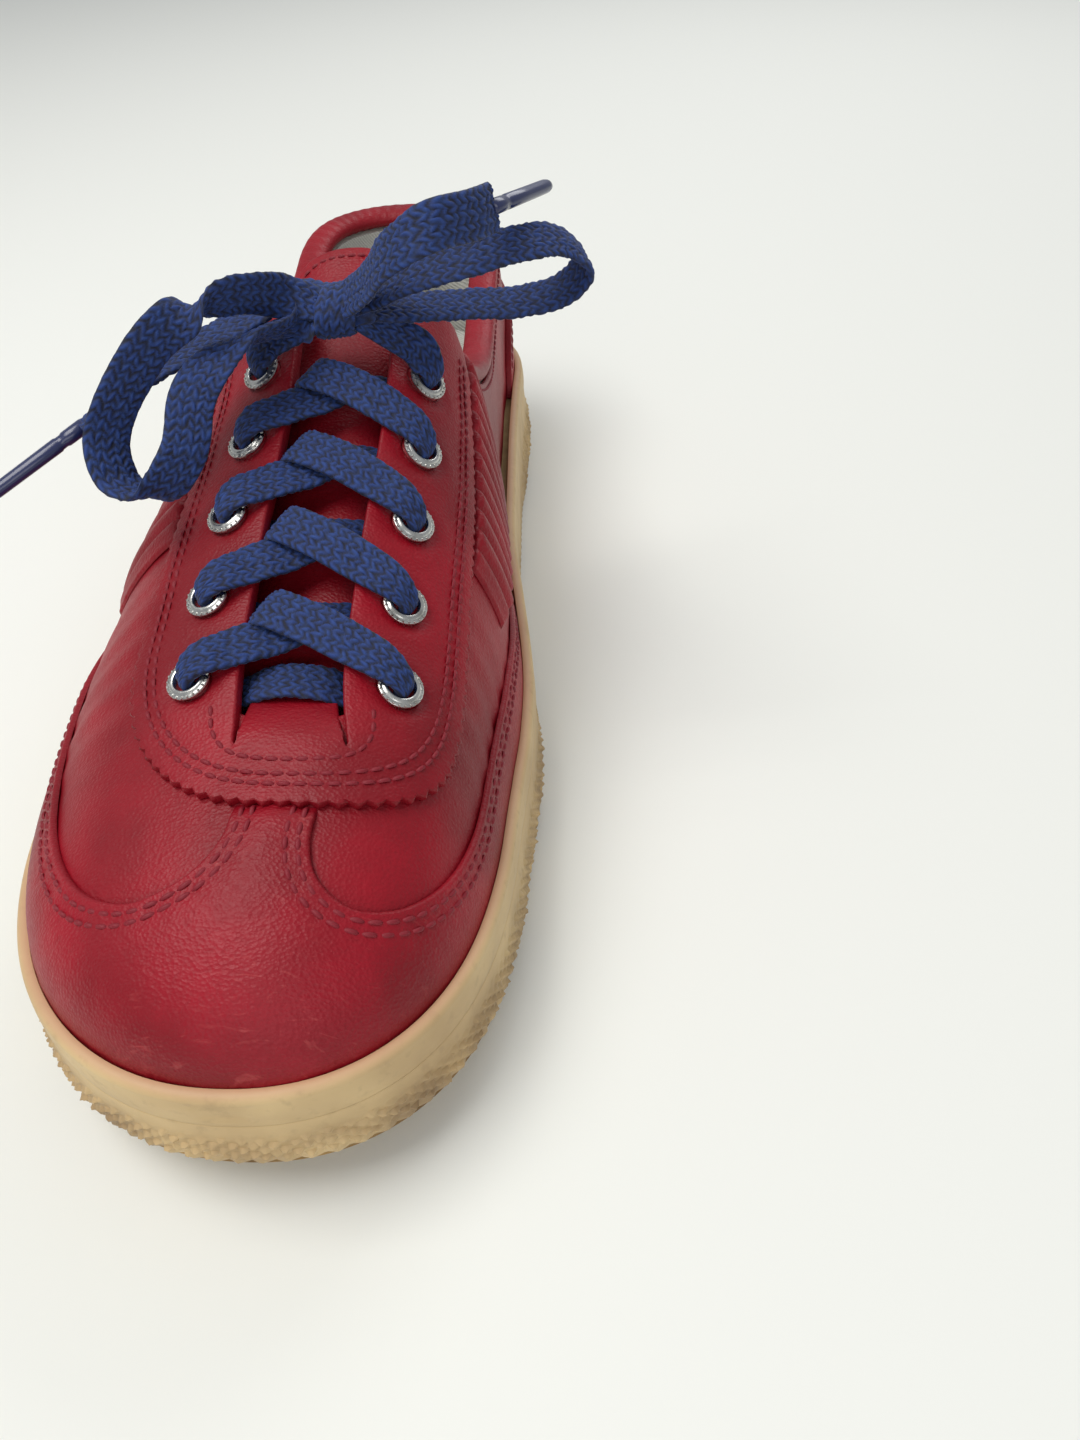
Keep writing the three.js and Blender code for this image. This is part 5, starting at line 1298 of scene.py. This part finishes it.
def woven(name, places, widths, halves=None, thins=None, closed=False):
    """A flat woven strand along places; widths are the ways its width faces."""
    places, widths = np.asarray(places, float), np.asarray(widths, float)
    count = len(places)
    halves = np.full(count, LACE_HALF) if halves is None else np.asarray(halves, float)
    thins = LACE_THIN * (LACE_HALF / halves) ** 0.6 if thins is None else np.asarray(thins, float)
    for i in range(1, count):
        if widths[i] @ widths[i - 1] < 0:
            widths[i] = -widths[i]
    line = spline(np.hstack([places, widths * 4, halves[:, None], thins[:, None]]), LACE_STEP / 3)
    run = length_along(line[:, :3], 0)
    stops = np.linspace(0, run[-1], int(run[-1] / LACE_STEP) + 1)
    line = np.stack([np.interp(stops, run, line[:, k]) for k in range(8)], -1)
    at, width, half_, thin = line[:, :3], line[:, 3:6], line[:, 6], line[:, 7]
    way = np.gradient(at, axis=0)
    way /= np.linalg.norm(way, axis=1, keepdims=True)
    width = width - way * np.einsum("ij,ij->i", width, way)[:, None]
    width /= np.linalg.norm(width, axis=1, keepdims=True)
    face = np.cross(way, width)
    top = np.linspace(1, -1, ACROSS)
    x = np.concatenate([top, top[::-1][1:-1]])
    y = np.concatenate([(1 - np.abs(top) ** 4) ** 0.5 * 1.0, -((1 - np.abs(top[1:-1]) ** 4) ** 0.5)])
    column = (x + 1) * COLUMNS / 2 * 0.9999
    within = column - np.floor(column)
    slant = np.where(np.floor(column) % 2 == 0, 1, -1) * (within - 0.5) * 0.62
    loose = 0.16 * np.sin(stops[:, None] * 0.9 + np.floor(column) * 2.1) + 0.1 * np.sin(stops[:, None] * 2.3
            - np.floor(column))
    phase = (stops[:, None] / STITCH + slant[None] + 0.5 * (np.floor(column) // 2 % 2)[None]
             + 0.25 * (y < 0)[None] + loose)
    plait = (0.5 + 0.5 * np.cos(2 * np.pi * phase)) ** 0.8 * (1 - 0.75 * np.abs(2 * within - 1) ** 4)[None]
    relief = 0.44 * (plait - 0.5) * np.minimum(1, half_[:, None] / 3.4)
    wander = 0.16 * np.sin(stops * 0.62) + 0.1 * np.sin(stops * 1.7 + 1)
    block = (at[:, None] + width[:, None] * (half_[:, None] * (x[None] + 0.035 * plait * np.sign(x)))[...,
            None]
             + face[:, None] * ((thin[:, None] + relief) * y[None]
                     + (wander[:, None] * (x * x - 0.4)[None]))[..., None])
    n = len(at)
    faces = band_faces(n, LACE_SIDES)
    faces += [tuple(reversed(range(LACE_SIDES))),
            tuple((n - 1) * LACE_SIDES + k for k in range(LACE_SIDES))]
    # The plait relief is passed on as well, to paint highlight on the raised threads and shade in the gaps.
    marks = {"weave_shading": plait.reshape(-1)}
    return make(name, block.reshape(-1, 3), faces, lace_look, 70, marks), at


def on_surface(a, q, lift):
    at, normal = spot(Over, np.array([Over.flat(a, q)]), float(lift))
    return at[0], normal[0]


FLANGE_TOP = SEAT + 1.0
OVER_FLANGE = FLANGE_TOP + 0.8 + 0.35
UNDER_FLAP = -1.7
ARCH = 1.35
ON_FLAP = OVERLAY_OUT + 1.0
LOWER, UPPER = 1.9, 5.0


def lace_stops(start, end, from_q, to_q, stops, climb=lambda t: t):
    """Stops along the surface between two places: (share, lift, half width)."""
    normal = on_surface((start + end) / 2, 0, 0)[1]
    way = on_surface(end, to_q, 0)[0] - on_surface(start, from_q, 0)[0]
    width = np.cross(way, normal)
    width /= np.linalg.norm(width)
    return [(on_surface(mix(start, end, climb(t)), mix(from_q, to_q, t), lift)[0], width, half) for t, lift,
            half in stops]


def crossing(row, side):
    start, end = EYELET_ROWS[row], EYELET_ROWS[row + 1]
    if side > 0:
        over = [(0.21, ON_FLAP + 0.9, 4.0), (0.33, 5.7, 4.2), (0.45, 5.3, 4.2), (0.57, UPPER, 4.2),
                (0.66, 4.3, 4.2), (0.73, 1.6, 4.2)]
    else:
        over = [(0.2, ON_FLAP + 0.2, 4.0), (0.28, 4.3, 4.2), (0.38, 2.6, 4.2), (0.5, LOWER, 4.2),
                (0.62, 1.0, 4.2), (0.71, -0.8, 4.2)]
    return lace_stops(start, end, side * eyelet_from(start), -side * eyelet_from(end), [
        (0, 0.8, 1.7), (-0.01, OVER_FLANGE - 1.3, 2.0), (0.03, OVER_FLANGE + 0.1, 2.7), (0.1, OVER_FLANGE
                + 0.3, 3.5),
        *over, (0.79, UNDER_FLAP, 4.0), (0.87, UNDER_FLAP, 3.2), (0.96, UNDER_FLAP - 0.1, 1.9)],
        lambda t: 1 - np.sign(1 - t) * abs(1 - t) ** ARCH)


KNOT_FROM = FACING_BACK + 14
knot_at = on_surface(KNOT_FROM, 1, OVERLAY_OUT + 6.5)[0]


def to_knot(side):
    a = EYELET_ROWS[-1]
    stops = lace_stops(a, KNOT_FROM + 1, side * eyelet_from(a), side * 9.5, [
        (0, 0.8, 1.7), (-0.02, OVER_FLANGE - 1.3, 2.0), (0.12, OVER_FLANGE + 0.4, 2.8), (0.35, OVER_FLANGE
                + 0.9, 3.6),
        (0.65, OVER_FLANGE + 1.5, 3.8)])
    inner_ = knot_at + np.array([side * 4.0, -1.2, -1.2])
    return stops + [(mix(stops[-1][0], inner_, 0.55), stops[-1][1], 3.1), (inner_, stops[-1][1], 2.6)]


def branch(side):
    stops = []
    for row in range(4):
        stops += crossing(row, -side if row % 2 else side)
    return stops + to_knot(side)


across_ = np.array([0, 1.0, 0])
bar = [(on_surface(209, q, UNDER_FLAP + rise)[0], across_, half) for q, rise, half in (
    (-13, 0, 2.6), (-9.5, 0.3, 3.8), (-5.5, 2.2, 4.2), (0, 3.0, 4.2), (5.5, 2.2, 4.2), (9.5, 0.3, 3.8), (13,
            0, 2.6))]
ends = {side: [(on_surface(209, side * 16.1, UNDER_FLAP)[0], across_, 1.7)] for side in (1, -1)}
stops = branch(-1)[::-1] + ends[-1] + bar + ends[1] + branch(1)
lace, _ = woven("woven_lace", [s[0] for s in stops], [s[1] for s in stops], [s[2] for s in stops])
worn_by(lace, "shoe", "lace", "lace")

# ---------------------------------------------------------------------------
# Bow: knot, loops, ends and aglets
# ---------------------------------------------------------------------------
# The same lace tied over the last row: one loop falls down the outer side, one
# stands out over the inner side, and each free end has a hard tip crimped on.
def sweep(places, widths, count=90):
    """Places and width ways of a smooth run, sampled evenly."""
    line = spline(places, 1.2)
    keys = spline(np.asarray(widths, float), 0.01)
    share = np.linspace(0, 1, len(line))
    way = np.stack([np.interp(share, np.linspace(0, 1, len(keys)), keys[:, k]) for k in range(3)], -1)
    return line, way


def lay_cord(name, node, places, widths):
    places = np.asarray(places, float) + knot_at
    line, way = sweep(places, widths)
    strand, centre = woven(name, line[::3] if len(line) % 3 == 1 else np.vstack([line[:-1:3], line[-1]]),
                           way[::3] if len(line) % 3 == 1 else np.vstack([way[:-1:3], way[-1]]))
    worn_by(strand, "shoe", "lace", node)
    path = (centre[::6] + SHIFT) / 1000
    path = np.vstack([path, (centre[-1] + SHIFT) / 1000])
    return strand


lay_cord("loop_medial", "bow_loop_medial",
         [(3, -0.5, 1.5), (9, -2, 4), (16, -5, 8), (26, -6, 11), (36, -1, 12), (44, 5, 10), (48, 7, 5),
                 (44, 8, 0),
          (36, 7, -2), (24, 6, -2), (9.5, 2, -1), (3, 1, -0.5)],
         [(0.2, 1, 0.4), (0, 1, 0.5), (-0.5, 1, 0.5), (0, 1, 0.3), (0, 1, 0.1)])
lay_cord("loop_lateral", "bow_loop_lateral",
         [(-3, -1, 1.5), (-9, -3, 4), (-17, -12, 8), (-27, -21, 6), (-35, -27, -2), (-40, -31, -11),
                 (-38, -35, -17),
          (-31, -37, -18), (-25, -33, -12), (-23, -26, -4), (-17, -16, 0.5), (-9.5, -5, -1), (-3, -1,
                  -0.5)],
         [(0.6, 0.8, 0.1), (0.8, 0.6, 0.2), (0.8, 0.5, -0.3), (0.9, 0.4, 0.2), (0.8, 0.6, 0.1)])

plastic = Look("aglet_plastic", (34, 42, 84), 0.28, coat=0.3)
plastic.bump(plastic.noise(500, 2), 0.08, 0.0002)
AGLET = 22.0
for label, sign, route, widths in (
        ("medial", 1, [(1, -1, 2), (8, -9, 8.5), (14, -16, 16), (22, -18, 21), (29, -11, 20.5),
                (32, -4, 19.5)],
         [(0.2, 0.6, 0.7), (0, 0.6, 0.8), (0, 0.5, 0.9), (-0.1, 0.4, 0.9)]),
        ("lateral", -1, [(-2, 2, 1.5), (-9.8, 4, 2), (-19, -5, 0), (-33, -17, -4), (-46, -27, -10)],
                [(0.2, 1, 0.2), (0, 1, 0.2), (0, 1, 0)])):
    end, before = (np.array(route[k], float) + knot_at for k in (-1, -2))
    way = (end - before) / np.linalg.norm(end - before)
    side_way = np.cross(way, [0, 0, 1.0])
    side_way /= np.linalg.norm(side_way)
    lift_way = np.cross(side_way, way)
    tube = [(-1.2, 1.35), (-0.9, 1.62)] + [(x, 1.62 - 0.12 * x / AGLET) for x in (2, 3.2)]
    tube += [(3.6, 1.4), (4.6, 1.4), (5.0, 1.58), (12, 1.54), (18.5, 1.5), (20.8, 1.46), (AGLET - 0.3, 1.3),
            (AGLET, 0.9)]
    points = [end + way * (x + 0.35) + (side_way * math.cos(t) + lift_way * math.sin(t) * 0.86) * r
              for x, r in tube for t in np.linspace(0, 2 * np.pi, 24, endpoint=False)]
    faces = band_faces(len(tube), 24)
    faces += [tuple(reversed(range(24))), tuple((len(tube) - 1) * 24 + k for k in range(24))]
    tip = make(f"tip_{label}", points, faces, plastic, 50)
    worn_by(tip, "shoe", "aglet", f"aglet_{label}")
    lay_cord(f"end_{label}", f"lace_end_{label}", route, widths)

turns = np.linspace(0, 2 * np.pi, 25)
wrap = [knot_at + np.array([0.9 * math.sin(t), 5.6 * math.cos(t), 4.1 * math.sin(t)]) for t in turns]
knot, _ = woven("knot_wrap", wrap, [(1, 0.12, 0.05)] * len(wrap), [3.9] * len(wrap))
worn_by(knot, "shoe", "lace", "bow_knot")
core = [knot_at + np.array([x, 0.4 * math.sin(x), 0.2]) for x in np.linspace(-6.5, 6.5, 9)]
core_half = [3.1, 3.6, 3.9, 4.1, 4.2, 4.1, 3.9, 3.6, 3.1]
core_thin = [1.8, 2.4, 2.8, 3.0, 3.0, 3.0, 2.8, 2.4, 1.8]
heart, _ = woven("knot_core", core, [(0, 1, 0.1)] * 9, core_half, core_thin)
worn_by(heart, "shoe", "lace")
